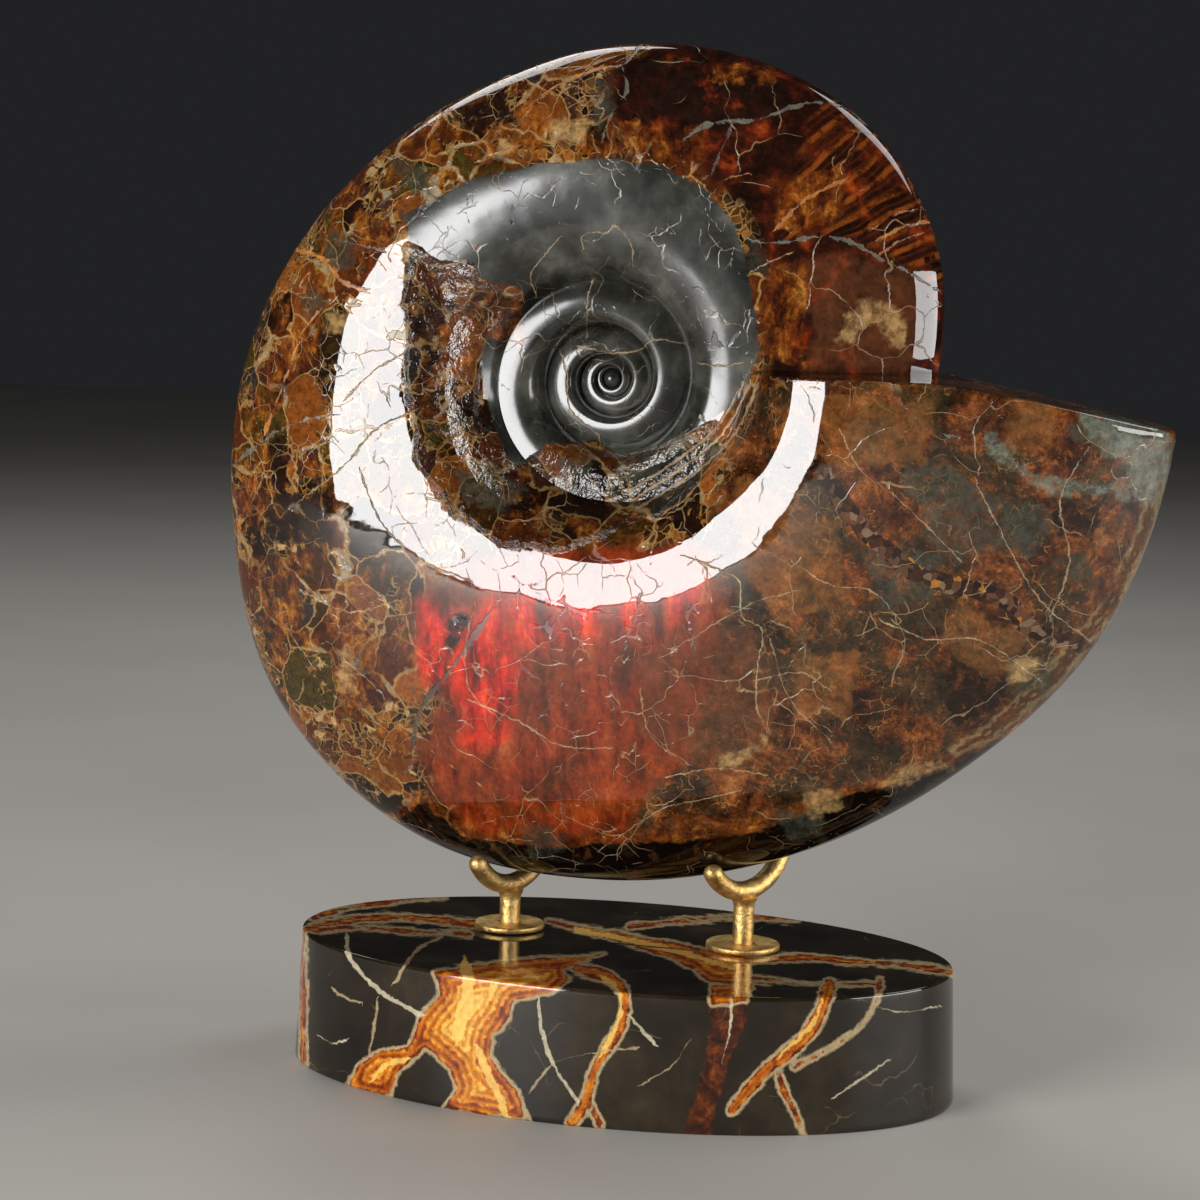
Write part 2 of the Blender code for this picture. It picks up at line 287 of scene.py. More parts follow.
def outer_parts(columns):
    """Positions of the outer columns, with the last few on the quarter round of the cut's edge."""
    reach = EDGE_ROUND * columns / (2 * math.pi * ROUND_AT)
    even = np.arange(0, columns + 1) / columns
    even = even[even < 1 - (reach + 0.5) / columns]
    turned = np.linspace(0, math.pi / 4, EDGE_STEPS)
    bent = 1 - reach / columns * (1 - np.sin(turned))
    inset = np.concatenate([np.zeros(len(even)), 1 - np.cos(turned)])
    return np.concatenate([even, bent]), inset


def shell_row(part, radius, height, inset, side):
    """Points of one row, with the cut's edge rounded off."""
    low = rounding(radius) * inset
    height = height * (1 - low / np.maximum(height, EDGE_TAPER * EDGE_ROUND))
    return coil_points(column_angles(part, radius, side * height), radius, side * height)


def shell_side(surface, side, columns, rows, outer_columns, outer_rows, rim):
    """One face of the shell. Returns the rows that border the cut, inner and outer."""
    dome = []
    chamber_edge = seam_height(np.float64(-2.0))
    around = np.arange(columns[0] + 1) / columns[0]
    for k in range(CHAMBER_ROWS + 1):
        share = k / CHAMBER_ROWS
        height = chamber_edge + (FIRST_CHAMBER_HEIGHT - chamber_edge) * math.sqrt(1 - share**2)
        points = coil_points(2 * math.pi * around, share * FIRST_CHAMBER, side * height)
        dome.append((surface.row(points), around))
    grid = dome
    inner_edge, outer_edge = [], []
    for band in range(-2, 3):
        if band == 2:
            parts, inset = outer_parts(int(outer_columns * LAST_BAND_SHARE))
        else:
            parts = np.arange(columns[band + 2] + 1) / columns[band + 2]
            inset = np.zeros(len(parts))
        turn = parts + band
        inner = seam_radius(turn) if band > -2 else np.full(len(turn), FIRST_CHAMBER)
        outer = seam_radius(turn + 1)
        for k in range(rows + 1):
            radius = inner + (outer - inner) * k / rows
            added = surface.row(shell_row(parts, radius, flank(turn, radius), inset, side))
            if k > 0 or band > -2:
                grid.append((added, parts))
            if band == 2:
                outer_edge.append(added[-1])
    parts, inset = outer_parts(outer_columns)
    inner = seam_radius(parts + 3)
    for k in range(outer_rows):
        along = 1 - (1 - k / outer_rows) ** RIM_CROWDING
        radius = inner + (last_rim(parts) - inner) * along
        added = surface.row(shell_row(parts, radius, flank(parts + 2, radius), inset, side))
        grid.append((added, parts))
        inner_edge.append(added[0])
        if k > 0:
            outer_edge.append(added[-1])
    grid.append(rim)
    inner_edge.append(rim[0][0])
    outer_edge.append(rim[0][-1])
    for (low, low_at), (high, high_at) in zip(grid, grid[1:]):
        surface.strip(low, low_at, high, high_at)
    return inner_edge, outer_edge


def cut_face(surface, inner_edge, outer_edge, middle):
    """One half of the cut, from the earlier whorl and the mid-plane to the shell's edge."""
    points = np.concatenate(surface.points)
    start = np.concatenate([points[inner_edge], middle])
    start_at = np.linspace(0, 1, len(start))
    end = points[outer_edge]
    end_at = np.linspace(0, 1, len(end))
    near = np.stack([np.interp(end_at, start_at, start[:, k]) for k in range(3)], 1)
    radius = np.hypot(end[:, 0] - COIL_X, end[:, 2] - COIL_Z)
    reach = np.linalg.norm((near - end)[:, :2], axis=1)
    size = np.minimum(rounding(radius), reach / 2)
    rows = []
    for turned in np.linspace(math.pi / 4, math.pi / 2, EDGE_STEPS)[1:]:
        across = size * (math.cos(math.pi / 4) - math.cos(turned)) / np.maximum(reach, SHORTEST)
        rows.append((across, size * (1 - math.sin(turned))))
    first = size * math.cos(math.pi / 4) / np.maximum(reach, SHORTEST)
    for k in range(1, CUT_ROWS):
        rows.append((first + (1 - first) * k / CUT_ROWS, np.zeros(len(end))))
    grid = [(outer_edge, end_at)]
    for across, drop in rows:
        place = end + (near - end) * across[:, None]
        distance = np.abs(place[:, 0] - COIL_X)
        cove = CUT_COVE * np.clip(across, 0, 1) ** 3 * (near[:, 2] - COIL_Z > CUT_LEVEL + LEVEL_MARGIN)
        level = cut_height(distance, place[:, 1] - COIL_Y) + cove
        share = smooth_step((distance - seam_radius(3.0)) / CUT_EASE)
        place[:, 2] += (COIL_Z + level - drop - place[:, 2]) * share
        grid.append((surface.row(place), end_at))
    grid.append((inner_edge + surface.row(middle), start_at))
    for (low, low_at), (high, high_at) in zip(grid, grid[1:]):
        surface.strip(low, low_at, high, high_at)


def rim_row(surface, columns):
    parts, inset = outer_parts(columns)
    radius = last_rim(parts) - rounding(last_rim(parts)) * inset
    angle = column_angles(parts, radius, 0.0)
    return surface.row(coil_points(angle, radius, 0.0)), parts


def build_ammonite(finish):
    surface = Surface()
    rim = rim_row(surface, FRONT_OUTER_COLUMNS)
    front = shell_side(surface, -1, FRONT_COLUMNS, FRONT_ROWS, FRONT_OUTER_COLUMNS, FRONT_OUTER_ROWS, rim)
    back = shell_side(surface, 1, BACK_COLUMNS, BACK_ROWS, BACK_OUTER_COLUMNS, BACK_OUTER_ROWS, rim)
    end = last_rim(1.0) - rounding(last_rim(1.0)) * MIDDLE_INSET
    distance = np.linspace(last_rim(0.0), end, FRONT_ROWS + 1)[1:-1]
    middle = coil_points(np.arcsin(cut_height(distance, 0.0) / distance), distance, 0.0)
    middle = np.concatenate([middle, np.concatenate(surface.points)[[rim[0][-1]]]])
    for inner_edge, outer_edge in (front, back):
        cut_face(surface, inner_edge, outer_edge, middle)
    return surface.object("ammonite_shell", finish)


# Marks on the shell, in the picture's pixels. Zones and patches are outlines, lines are (width, points).
SLATE = [
    [(405, 215), (470, 180), (540, 163), (600, 158), (660, 165), (705, 188), (735, 225), (752, 290),
     (757, 350), (750, 382), (735, 405), (700, 428), (660, 446), (620, 456), (590, 440), (548, 446),
     (515, 470), (500, 440), (486, 400), (480, 360), (490, 330), (525, 300), (520, 290), (480, 280),
     (475, 262), (440, 262), (410, 240)]]
# The sunken inner whorls: painted shade darkens the breccia there, which is also rougher and dented.
INNER_BRECCIA = [
    [(408, 250), (443, 246), (470, 258), (480, 283), (505, 288), (525, 305), (512, 330), (490, 345),
     (478, 380), (480, 420), (500, 450), (540, 440), (590, 430), (640, 430), (690, 420), (718, 424),
     (700, 480), (640, 520), (560, 548), (500, 548), (450, 510), (415, 455), (408, 380), (404, 300)]]
RED = [
    [(405, 600), (470, 560), (700, 540), (725, 600), (705, 700), (690, 760), (640, 800), (620, 845),
     (540, 850), (470, 840), (430, 790), (420, 760), (440, 700), (415, 660)]]
VIVID_RED = [
    [(417, 600), (448, 600), (444, 660), (436, 706), (418, 712), (420, 660)],
    [(462, 610), (500, 600), (512, 640), (508, 746), (470, 740), (450, 700), (456, 650)],
    [(668, 572), (692, 572), (690, 617), (680, 617)],
    [(622, 600), (634, 600), (632, 625), (622, 620)],
    [(505, 600), (600, 600), (588, 640), (520, 640)]]
FLANK = [
    [(735, 392), (860, 382), (1000, 385), (1180, 400), (1190, 480), (1120, 640), (1000, 760), (860, 800),
     (760, 835), (640, 848), (610, 800), (690, 740), (716, 660), (720, 600), (712, 520), (735, 450)]]
# The lower rim, painted near black: its own dark stone, and painted shade where it turns under.
BOTTOM = [
    [(420, 800), (470, 838), (540, 847), (620, 846), (700, 838), (760, 832), (850, 795), (940, 770),
     (1030, 726), (1080, 700), (1100, 760), (900, 900), (500, 920), (380, 840)]]
DARK_RIBBED = [
    [(612, 130), (612, 60), (700, 30), (820, 60), (960, 180), (975, 380), (765, 380), (770, 270),
     (745, 215), (700, 165), (655, 140)]]
RIBS = [
    [(820, 110), (860, 90), (960, 220), (960, 262), (900, 262), (850, 230), (790, 240), (775, 225)],
    [(870, 220), (960, 215), (965, 300), (905, 270)]]
SMOOTH_BROWN = [
    [(797, 263), (850, 256), (915, 280), (918, 330), (905, 372), (800, 372), (812, 330), (800, 300)],
    [(690, 620), (760, 630), (770, 740), (700, 770), (640, 730), (640, 660)]]
GREY_PATCHES = [
    [(330, 233), (353, 240), (350, 270), (333, 266)],
    [(300, 296), (320, 290), (327, 310), (306, 323)],
    [(723, 560), (748, 562), (753, 600), (742, 617), (735, 590)],
    [(1064, 548), (1088, 552), (1090, 578), (1068, 581)],
    [(525, 828), (548, 823), (571, 832), (566, 850), (532, 852)],
    [(593, 80), (611, 84), (608, 112), (600, 137), (593, 118), (599, 100)],
    [(395, 160), (425, 168), (432, 196), (414, 192)],
    [(853, 422), (880, 426), (876, 466), (856, 462)],
    [(905, 478), (940, 462), (990, 490), (1049, 510), (1040, 560), (1000, 548), (960, 560), (925, 530)],
    [(860, 550), (938, 556), (936, 604), (880, 607)],
    [(1064, 420), (1136, 424), (1134, 444), (1070, 440)],
    [(780, 812), (820, 810), (822, 836), (790, 843)],
    [(1012, 659), (1050, 664), (1057, 696), (1022, 692)],
    [(610, 448), (660, 436), (690, 440), (660, 470), (620, 478)],
    [(450, 470), (500, 462), (520, 490), (500, 515), (462, 505)],
    [(560, 460), (600, 452), (590, 478), (566, 484)]]
DARK_PATCHES = [
    [(407, 313), (430, 316), (428, 340), (410, 338)],
    [(417, 340), (448, 344), (450, 370), (424, 373)],
    [(444, 614), (474, 612), (466, 636), (448, 656)],
    [(420, 299), (450, 296), (477, 304), (472, 314), (440, 318), (418, 310)],
    [(310, 340), (345, 330), (350, 380), (322, 400)],
    [(263, 440), (285, 436), (290, 480), (270, 490)],
    [(930, 660), (990, 650), (1010, 700), (960, 720)],
    [(1049, 500), (1100, 505), (1095, 540), (1060, 535)],
    [(455, 100), (500, 96), (520, 120), (480, 130), (458, 122)],
    [(632, 64), (700, 60), (790, 88), (770, 112), (700, 126), (640, 120)],
    [(262, 500), (336, 480), (336, 545), (300, 548), (265, 540)]]
AMBER_PATCHES = [
    [(360, 213), (398, 220), (403, 280), (372, 287), (357, 250)],
    [(329, 615), (352, 600), (379, 640), (376, 706), (340, 708), (330, 660)],
    [(302, 452), (317, 454), (315, 473), (304, 470)],
    [(244, 556), (300, 560), (302, 640), (262, 620)],
    [(463, 150), (520, 132), (530, 160), (478, 172)],
    [(482, 284), (523, 300), (518, 343), (486, 338)],
    [(713, 62), (777, 66), (774, 83), (716, 78)],
    [(240, 488), (258, 484), (262, 531), (246, 530)],
    [(767, 262), (807, 260), (806, 367), (770, 360)],
    [(1094, 544), (1123, 548), (1118, 622), (1098, 600)],
    [(250, 400), (300, 330), (318, 300), (326, 330), (290, 390), (262, 430)],
    [(846, 508), (858, 507), (858, 518), (848, 519)],
    [(432, 320), (472, 318), (470, 372), (436, 368)],
    [(770, 180), (840, 172), (850, 215), (800, 232), (768, 224)],
    [(607, 122), (700, 126), (702, 152), (650, 156), (610, 146)]]
CREAM_PATCHES = [
    [(497, 138), (523, 142), (520, 157), (500, 156)],
    [(547, 122), (590, 120), (588, 146), (552, 147)],
    [(327, 314), (342, 316), (341, 332), (329, 331)],
    [(843, 338), (850, 315), (866, 303), (886, 306), (903, 322), (898, 342), (884, 322), (868, 314),
     (856, 326), (851, 340)],
    [(800, 795), (840, 793), (836, 806), (808, 817)],
    [(865, 778), (950, 760), (952, 768), (880, 788)],
    [(341, 650), (352, 648), (350, 690), (340, 690)],
    [(395, 236), (404, 232), (404, 262), (398, 266)],
    [(723, 758), (768, 736), (764, 748), (730, 768)],
    [(1012, 664), (1036, 662), (1030, 678), (1014, 680)]]
TAN_PATCHES = [
    [(793, 655), (853, 653), (850, 715), (800, 720)],
    [(820, 402), (930, 400), (926, 460), (826, 466)],
    [(740, 480), (840, 520), (850, 600), (780, 620), (735, 560)],
    [(960, 600), (1020, 640), (990, 680), (930, 640)],
    [(1010, 400), (1060, 410), (1050, 460), (1008, 450)]]
# Grey-green stone at the tip and along the cut's edge. At the tip it also stands for a painted highlight on
# the facets.
LIP_AND_HIGHLIGHT = [
    [(1078, 414), (1120, 420), (1172, 434), (1170, 470), (1152, 505), (1136, 500), (1128, 466),
     (1096, 440)],
    [(990, 440), (1030, 470), (1130, 486), (1130, 498), (1050, 492), (1000, 462)]]
RIM_BAND = [
    [(1174, 470), (1160, 530), (1122, 614), (1062, 690), (1000, 742), (955, 764), (940, 748), (990, 716),
     (1046, 664), (1098, 598), (1132, 530), (1144, 480)]]
GREY_VEINS = [
    [
        (7, [(237, 462), (258, 445), (279, 431), (305, 420), (333, 415)]),
        (6, [(640, 47), (623, 67), (627, 90), (610, 117), (603, 137)]),
        (8, [(683, 140), (713, 123), (757, 120), (807, 103), (843, 107), (867, 123)]),
        (7, [(750, 240), (777, 243), (817, 237), (850, 242), (883, 260), (910, 273), (937, 290)]),
        (5, [(413, 608), (417, 654), (413, 708), (413, 746), (410, 788), (425, 831)]),
        (4, [(538, 631), (556, 685), (567, 738), (560, 777), (562, 819)]),
        (5, [(897, 400), (938, 433), (990, 440), (1027, 477), (1057, 485), (1134, 489)]),
        (6, [(640, 597), (630, 637), (613, 680), (613, 707)]),
        (4, [(297, 293), (330, 287), (373, 290)])],
    [
        (6, [(733, 123), (720, 153), (713, 170)]),
        (9, [(490, 612), (456, 662), (421, 708), (413, 746)]),
        (5, [(377, 207), (413, 180), (423, 207), (403, 227)]),
        (3, [(581, 619), (579, 662), (560, 685)]),
        (5, [(692, 627), (697, 665), (703, 693)]),
        (4, [(297, 250), (320, 238), (352, 244), (396, 254)])]]
GOLD_VEINS = [
    [
        (4, [(447, 107), (463, 137)]),
        (4, [(443, 112), (420, 150), (415, 163)]),
        (6, [(520, 120), (550, 90), (593, 70), (620, 65)]),
        (8, [(297, 250), (320, 257), (340, 280), (363, 290)]),
        (3, [(421, 742), (456, 769), (487, 792), (500, 846)]),
        (3, [(540, 650), (537, 727), (538, 788)]),
        (7, [(777, 227), (806, 200), (843, 180)]),
        (6, [(873, 243), (905, 226), (940, 221)]),
        (5, [(710, 197), (728, 178), (763, 173)]),
        (6, [(262, 440), (285, 380), (302, 335), (318, 312)]),
        (4, [(240, 531), (238, 500), (244, 470), (262, 462)])],
    [
        (4, [(785, 238), (822, 206), (862, 190)]),
        (4, [(880, 254), (912, 236), (944, 232)]),
        (3, [(868, 232), (900, 213), (934, 208)]),
        (4, [(470, 165), (505, 150), (528, 128)]),
        (3, [(417, 440), (433, 415), (440, 380), (430, 345)])]]
PALE_CRACKS = [
    [
        (2, [(683, 555), (720, 570), (740, 583), (742, 617), (762, 630), (757, 670), (757, 707),
         (767, 730)]),
        (2, [(667, 777), (717, 768), (767, 775)]),
        (2, [(583, 250), (582, 238), (590, 232), (607, 233), (615, 225), (630, 243), (633, 267)]),
        (2, [(560, 237), (540, 260), (530, 277), (537, 297)]),
        (2, [(577, 347), (613, 353), (640, 350), (653, 340), (683, 343)]),
        (2, [(750, 273), (770, 262), (790, 253)]),
        (3, [(750, 383), (727, 427), (693, 460), (633, 500)]),
        (2, [(700, 363), (722, 366), (743, 363)]),
        (2, [(400, 245), (430, 265), (465, 262)]),
        (2, [(880, 620), (930, 640), (980, 640), (1040, 680)]),
        (2, [(790, 560), (830, 585), (870, 590), (900, 620)]),
        (2, [(300, 590), (350, 612), (395, 600)]),
        (2, [(345, 400), (372, 372), (405, 352)]),
        (2, [(470, 700), (520, 722), (560, 745), (610, 748)])],
    [
        (3, [(744, 380), (719, 424), (686, 454), (628, 492)]),
        (2, [(593, 280), (587, 300), (587, 337)]),
        (2, [(560, 350), (567, 377), (570, 410), (597, 433), (600, 447)]),
        (2, [(690, 640), (720, 620), (760, 600), (800, 590)]),
        (2, [(757, 680), (800, 672), (830, 690)]),
        (2, [(840, 430), (860, 470), (900, 500), (960, 560)]),
        (2, [(415, 410), (375, 430), (340, 470), (300, 500)]),
        (2, [(475, 600), (465, 650), (470, 690), (500, 720)]),
        (2, [(975, 480), (1000, 530), (1040, 600), (1090, 640)]),
        (2, [(600, 850), (660, 810), (700, 800), (740, 790)])],
    [
        (3, [(757, 386), (736, 432), (701, 468), (640, 507)]),
        (2, [(1087, 450), (1060, 500), (1070, 560), (1050, 620)]),
        (2, [(640, 690), (650, 735), (690, 765)]),
        (2, [(360, 470), (380, 520), (420, 560), (470, 580)]),
        (2, [(520, 600), (530, 640), (560, 650)]),
        (2, [(770, 640), (790, 700), (830, 740)])]]
CHAIN = [
    [
        (14, [(815, 462), (849, 511), (879, 544), (912, 570), (938, 581), (968, 589), (1005, 600),
         (1027, 626), (1079, 644)])]]

# Marks on the base
BASE_AREAS = [
    [(434, 972), (494, 962), (548, 958), (606, 953), (565, 970), (569, 980), (552, 995), (514, 1002),
     (508, 1019), (494, 1036), (491, 1057), (514, 1087), (530, 1122), (443, 1108), (457, 1087),
     (450, 1070), (426, 1048), (412, 1057), (399, 1074), (392, 1098), (348, 1088), (358, 1063),
     (378, 1050), (409, 1048), (419, 1019), (429, 1006), (441, 992)],
    [(710, 984), (750, 984), (748, 1002), (712, 1004)],
    [(548, 921), (620, 932), (680, 944), (730, 952), (752, 962), (748, 984), (712, 984), (690, 968),
     (640, 948), (590, 936)]]
BASE_BANDS = [
    (6, [(303, 1064), (302, 1000), (302, 940), (307, 928), (340, 922), (392, 917), (440, 920),
     (480, 924)]),
    (4, [(313, 930), (360, 928), (420, 932), (470, 934)]),
    (5, [(313, 918), (360, 905), (414, 897), (445, 895)]),
    (11, [(577, 968), (606, 976), (618, 986), (625, 999), (620, 1026), (596, 1067), (586, 1101),
     (572, 1122)]),
    (6, [(588, 1098), (594, 1112), (600, 1124)]),
    (5, [(745, 962), (800, 958), (860, 962), (910, 966), (955, 974)]),
    (5, [(630, 926), (682, 920), (731, 917), (798, 920)]),
    (13, [(829, 984), (824, 1000), (813, 1026), (790, 1052), (766, 1070), (748, 1090), (732, 1110)]),
    (6, [(880, 982), (876, 1000), (861, 1026), (827, 1050), (793, 1067)]),
    (6, [(778, 1072), (784, 1092), (795, 1112), (804, 1134)]),
    (3, [(753, 978), (816, 983), (874, 984)])]
BASE_CORES = [
    (12, [(466, 968), (468, 990), (463, 1012), (457, 1036)]),
    (8, [(478, 1050), (492, 1082), (508, 1118)]),
    (5, [(576, 930), (640, 942), (700, 958), (732, 968)]),
    (4, [(604, 978), (618, 990), (622, 1004), (616, 1028), (600, 1056)]),
    (3, [(822, 1000), (812, 1024), (780, 1056)]),
    (5, [(372, 1080), (384, 1066), (404, 1060)])]
BASE_BROWN = [
    [(708, 984), (752, 984), (748, 1012), (738, 1042), (726, 1076), (716, 1110), (710, 1136), (684, 1136),
     (692, 1104), (704, 1062), (711, 1022)]]
BASE_WHITE = [
    [
        (5, [(347, 938), (350, 958), (378, 990), (419, 1014)]),
        (4, [(538, 1000), (542, 1033), (555, 1067), (577, 1101)]),
        (3, [(630, 1016), (642, 1030), (655, 1044)]),
        (1.5, [(887, 1061), (860, 1080), (834, 1097)]),
        (2, [(320, 1036), (332, 1043), (346, 1040)]),
        (1.5, [(860, 1000), (900, 1012), (940, 1006)]),
        (2, [(731, 1000), (730, 1030), (722, 1062)])],
    [
        (4, [(443, 936), (416, 951), (395, 982)]),
        (2, [(378, 1000), (374, 1030), (368, 1056)]),
        (2, [(531, 1090), (545, 1072), (560, 1060), (600, 1052), (636, 1048)]),
        (2, [(334, 990), (346, 998), (360, 1003)]),
        (1.5, [(640, 1085), (672, 1066), (690, 1040)])]]

SHELL_ZONES = {"zones_a": (SLATE, INNER_BRECCIA, RED, VIVID_RED),
               "zones_b": (FLANK, BOTTOM, DARK_RIBBED, RIBS),
               "patches_a": (GREY_PATCHES, DARK_PATCHES, AMBER_PATCHES, CREAM_PATCHES),
               "patches_b": (TAN_PATCHES, SMOOTH_BROWN, LIP_AND_HIGHLIGHT, RIM_BAND)}
SHELL_LINES = {"grey": GREY_VEINS, "gold": GOLD_VEINS, "pale": PALE_CRACKS, "chain": CHAIN}

SPLIT_STEPS = 4  # new points between two given ones
DEPTH_LIMIT = 60.0
FAR_OFF, CLOSER_BY, TINY = 1e6, 1e-6, 1e-9


def smooth_line(points):
    """The curve through a line's points, as closely spaced points."""
    points = np.array(points, float)
    at = np.linspace(0, len(points) - 1, SPLIT_STEPS * (len(points) - 1) + 1)
    return np.stack([through(points[:, k], at) for k in (0, 1)], 1)


def from_stretch(places, start, end):
    """For each place: its offset from the start of a straight stretch, and its distance from the stretch."""
    along, offset = end - start, places - start
    share = np.clip(offset @ along / (along @ along + TINY), 0, 1)
    return offset, np.linalg.norm(offset - share[:, None] * along, axis=1)


def line_marks(places, lines):
    """For each place: signed distance from the nearest line, half that line's width, and plain distance."""
    side = np.zeros(len(places))
    width = np.ones(len(places))
    nearest = np.full(len(places), FAR_OFF)
    for line_width, points in lines:
        curve = smooth_line(points)
        for start, end in zip(curve, curve[1:]):
            offset, distance = from_stretch(places, start, end)
            across = (end - start)[0] * offset[:, 1] - (end - start)[1] * offset[:, 0]
            closer = distance < nearest - CLOSER_BY
            side = np.where(closer, np.copysign(distance, across), side)
            width = np.where(closer, line_width / 2, width)
            nearest = np.where(closer, distance, nearest)
    return np.clip(side, -DEPTH_LIMIT, DEPTH_LIMIT), width, np.minimum(nearest, DEPTH_LIMIT)


def line_depth(places, lines):
    """How deep each place lies within the nearest wide line."""
    depth = np.full(len(places), -DEPTH_LIMIT)
    for line in lines:
        depth = np.maximum(depth, line[0] / 2 - line_marks(places, [line])[2])
    return depth


def outline_depth(places, outlines):
    """How deep each place lies within the outlines, negative outside."""
    depth = np.full(len(places), -DEPTH_LIMIT)
    for outline in outlines:
        corners = np.array(outline, float)
        nearest = np.full(len(places), FAR_OFF)
        inside = np.zeros(len(places), bool)
        for start, end in zip(corners, np.roll(corners, -1, 0)):
            offset, distance = from_stretch(places, start, end)
            nearest = np.minimum(nearest, distance)
            spans = (start[1] > places[:, 1]) != (end[1] > places[:, 1])
            rise = end[1] - start[1] if end[1] != start[1] else TINY
            inside ^= spans & (offset[:, 0] < offset[:, 1] / rise * (end - start)[0])
        depth = np.maximum(depth, np.where(inside, nearest, -nearest))
    return np.clip(depth, -DEPTH_LIMIT, DEPTH_LIMIT)


def add_marks(obj, name, channels):
    """Stores up to four values for each vertex, for the materials to read."""
    values = np.zeros((len(obj.data.vertices), 4))
    for k, channel in enumerate(channels):
        values[:, k] = channel
    attribute = obj.data.attributes.new(name, "FLOAT_COLOR", "POINT")
    attribute.data.foreach_set("color", values.ravel())


def vertex_points(obj):
    points = np.empty(len(obj.data.vertices) * 3)
    obj.data.vertices.foreach_get("co", points)
    return points.reshape(-1, 3) / MM


def mark_shell(obj):
    """The back takes the marks of the front's mirror image."""
    points = vertex_points(obj)
    points[:, 1] = COIL_Y - np.abs(points[:, 1] - COIL_Y)
    places = in_picture(points)
    for name, zones in SHELL_ZONES.items():
        add_marks(obj, name, [outline_depth(places, zone) for zone in zones])
    for name, groups in SHELL_LINES.items():
        for k, lines in enumerate(groups):
            add_marks(obj, f"{name}_{k}", line_marks(places, lines))


LINE_END = 2.5  # how far a line runs on past its last point
LINE_EDGE = (-0.7, 0.5)


class Nodes:
    """A material under construction. Methods return sockets, and plain values can stand in for sockets."""

    def __init__(self, name):
        self.material = bpy.data.materials.new(name)
        self.material.use_nodes = True
        self.tree = self.material.node_tree
        self.shader = self.tree.nodes["Principled BSDF"]
        self.at = self.vector("SCALE", self.add("TexCoord").outputs["Object"], scale=1 / MM)

    def put(self, socket, value):
        if isinstance(value, bpy.types.NodeSocket):
            self.tree.links.new(value, socket)
        elif isinstance(value, str):
            socket.default_value = srgb(value) if socket.type == "VECTOR" else (*srgb(value), 1)
        else:
            socket.default_value = value

    def add(self, kind, *values, settings=None, **inputs):
        """A node. Plain values go to its first inputs in turn, and the others to the inputs they name."""
        node = self.tree.nodes.new("ShaderNode" + kind)
        for key, value in (settings or {}).items():
            setattr(node, key, value)
        for socket, value in zip(node.inputs, values):
            self.put(socket, value)
        for key, value in inputs.items():
            self.put(node.inputs[key], value)
        return node

    def vector(self, operation, *values, scale=None):
        node = self.add("VectorMath", *values, settings={"operation": operation})
        if scale is not None:
            self.put(node.inputs["Scale"], scale)
        return node.outputs["Value" if operation == "LENGTH" else "Vector"]

    def shade(self, colour, amount):
        """The colour times a number."""
        return self.vector("SCALE", colour, scale=amount)

    def math(self, operation, *values, clamp=False):
        return self.add("Math", *values, settings={"operation": operation, "use_clamp": clamp}).outputs[0]

    def plus(self, first, second):
        return self.math("ADD", first, second)

    def less(self, first, second):
        return self.math("SUBTRACT", first, second)

    def times(self, first, second):
        return self.math("MULTIPLY", first, second)

    def most(self, first, second):
        return self.math("MAXIMUM", first, second)

    def linear(self, value, factor, start):
        """The value times a factor, plus a start."""
        return self.math("MULTIPLY_ADD", value, factor, start)

    def centred(self, value, amount, middle=0.5):
        """The value's difference from a middle one, times an amount."""
        return self.times(self.less(value, middle), amount)

    def between(self, value, low, high):
        """0 below low and 1 above high, eased."""
        eased = {"interpolation_type": "SMOOTHSTEP"}
        return self.add("MapRange", value, low, high, settings=eased).outputs[0]

    def noise(self, place, size, detail=4.0, roughness=0.55, output="Fac"):
        node = self.add("TexNoise", Vector=place, Scale=1 / size, Detail=detail, Roughness=roughness)
        return node.outputs[output]

    def warp(self, place, size, amount, detail=2.0):
        """The place moved about by noise."""
        moved = self.vector("SUBTRACT", self.noise(place, size, detail, output="Color"), (0.5, 0.5, 0.5))
        return self.vector("ADD", place, self.vector("SCALE", moved, scale=2 * amount))

    def stretched(self, factors):
        return self.vector("MULTIPLY", self.at, factors)

    def cells(self, place, size, feature="F1"):
        return self.add("TexVoronoi", settings={"feature": feature}, Vector=place, Scale=1 / size).outputs

    def edges(self, place, size):
        """Distance to the border of a cell, in millimetres."""
        return self.times(self.cells(place, size, "DISTANCE_TO_EDGE")["Distance"], size)

    def lots(self, place, size):
        """Three random values of the cell around a place."""
        return self.add("SeparateColor", self.cells(place, size)["Color"]).outputs

    def mix(self, under, over, share, amount=1.0):
        """One colour over another. Where the share is 1, the amount says how strongly it covers."""
        node = self.add("Mix", settings={"data_type": "RGBA"})
        if amount != 1.0:
            share = self.times(share, amount)
        for k, value in ((0, share), (6, under), (7, over)):
            self.put(node.inputs[k], value)
        return node.outputs[2]

    def ramp(self, value, stops, sharp=False):
        node = self.add("ValToRGB", value)
        ramp = node.color_ramp
        ramp.interpolation = "CONSTANT" if sharp else "LINEAR"
        for _ in stops[2:]:
            ramp.elements.new(0.5)
        for element, (position, colour) in zip(ramp.elements, stops):
            element.position = position
            element.color = (*srgb(colour), 1)
        return node.outputs[0]

    def marks(self, name):
        """The four values stored at each vertex under a name."""
        node = self.add("Attribute", settings={"attribute_name": name})
        return (*self.add("SeparateColor", node.outputs["Color"]).outputs[:3], node.outputs["Alpha"])

    def line(self, name, wander, thicker=0.0):
        """How much of a line of marks covers a point. It thins out towards its ends."""
        side, width, distance, _ = self.marks(name)
        side = self.math("ABSOLUTE", self.plus(side, wander))
        past = self.most(self.less(distance, self.plus(width, LINE_END)), 0)
        return self.between(self.less(self.plus(width, thicker), self.plus(side, past)), *LINE_EDGE)

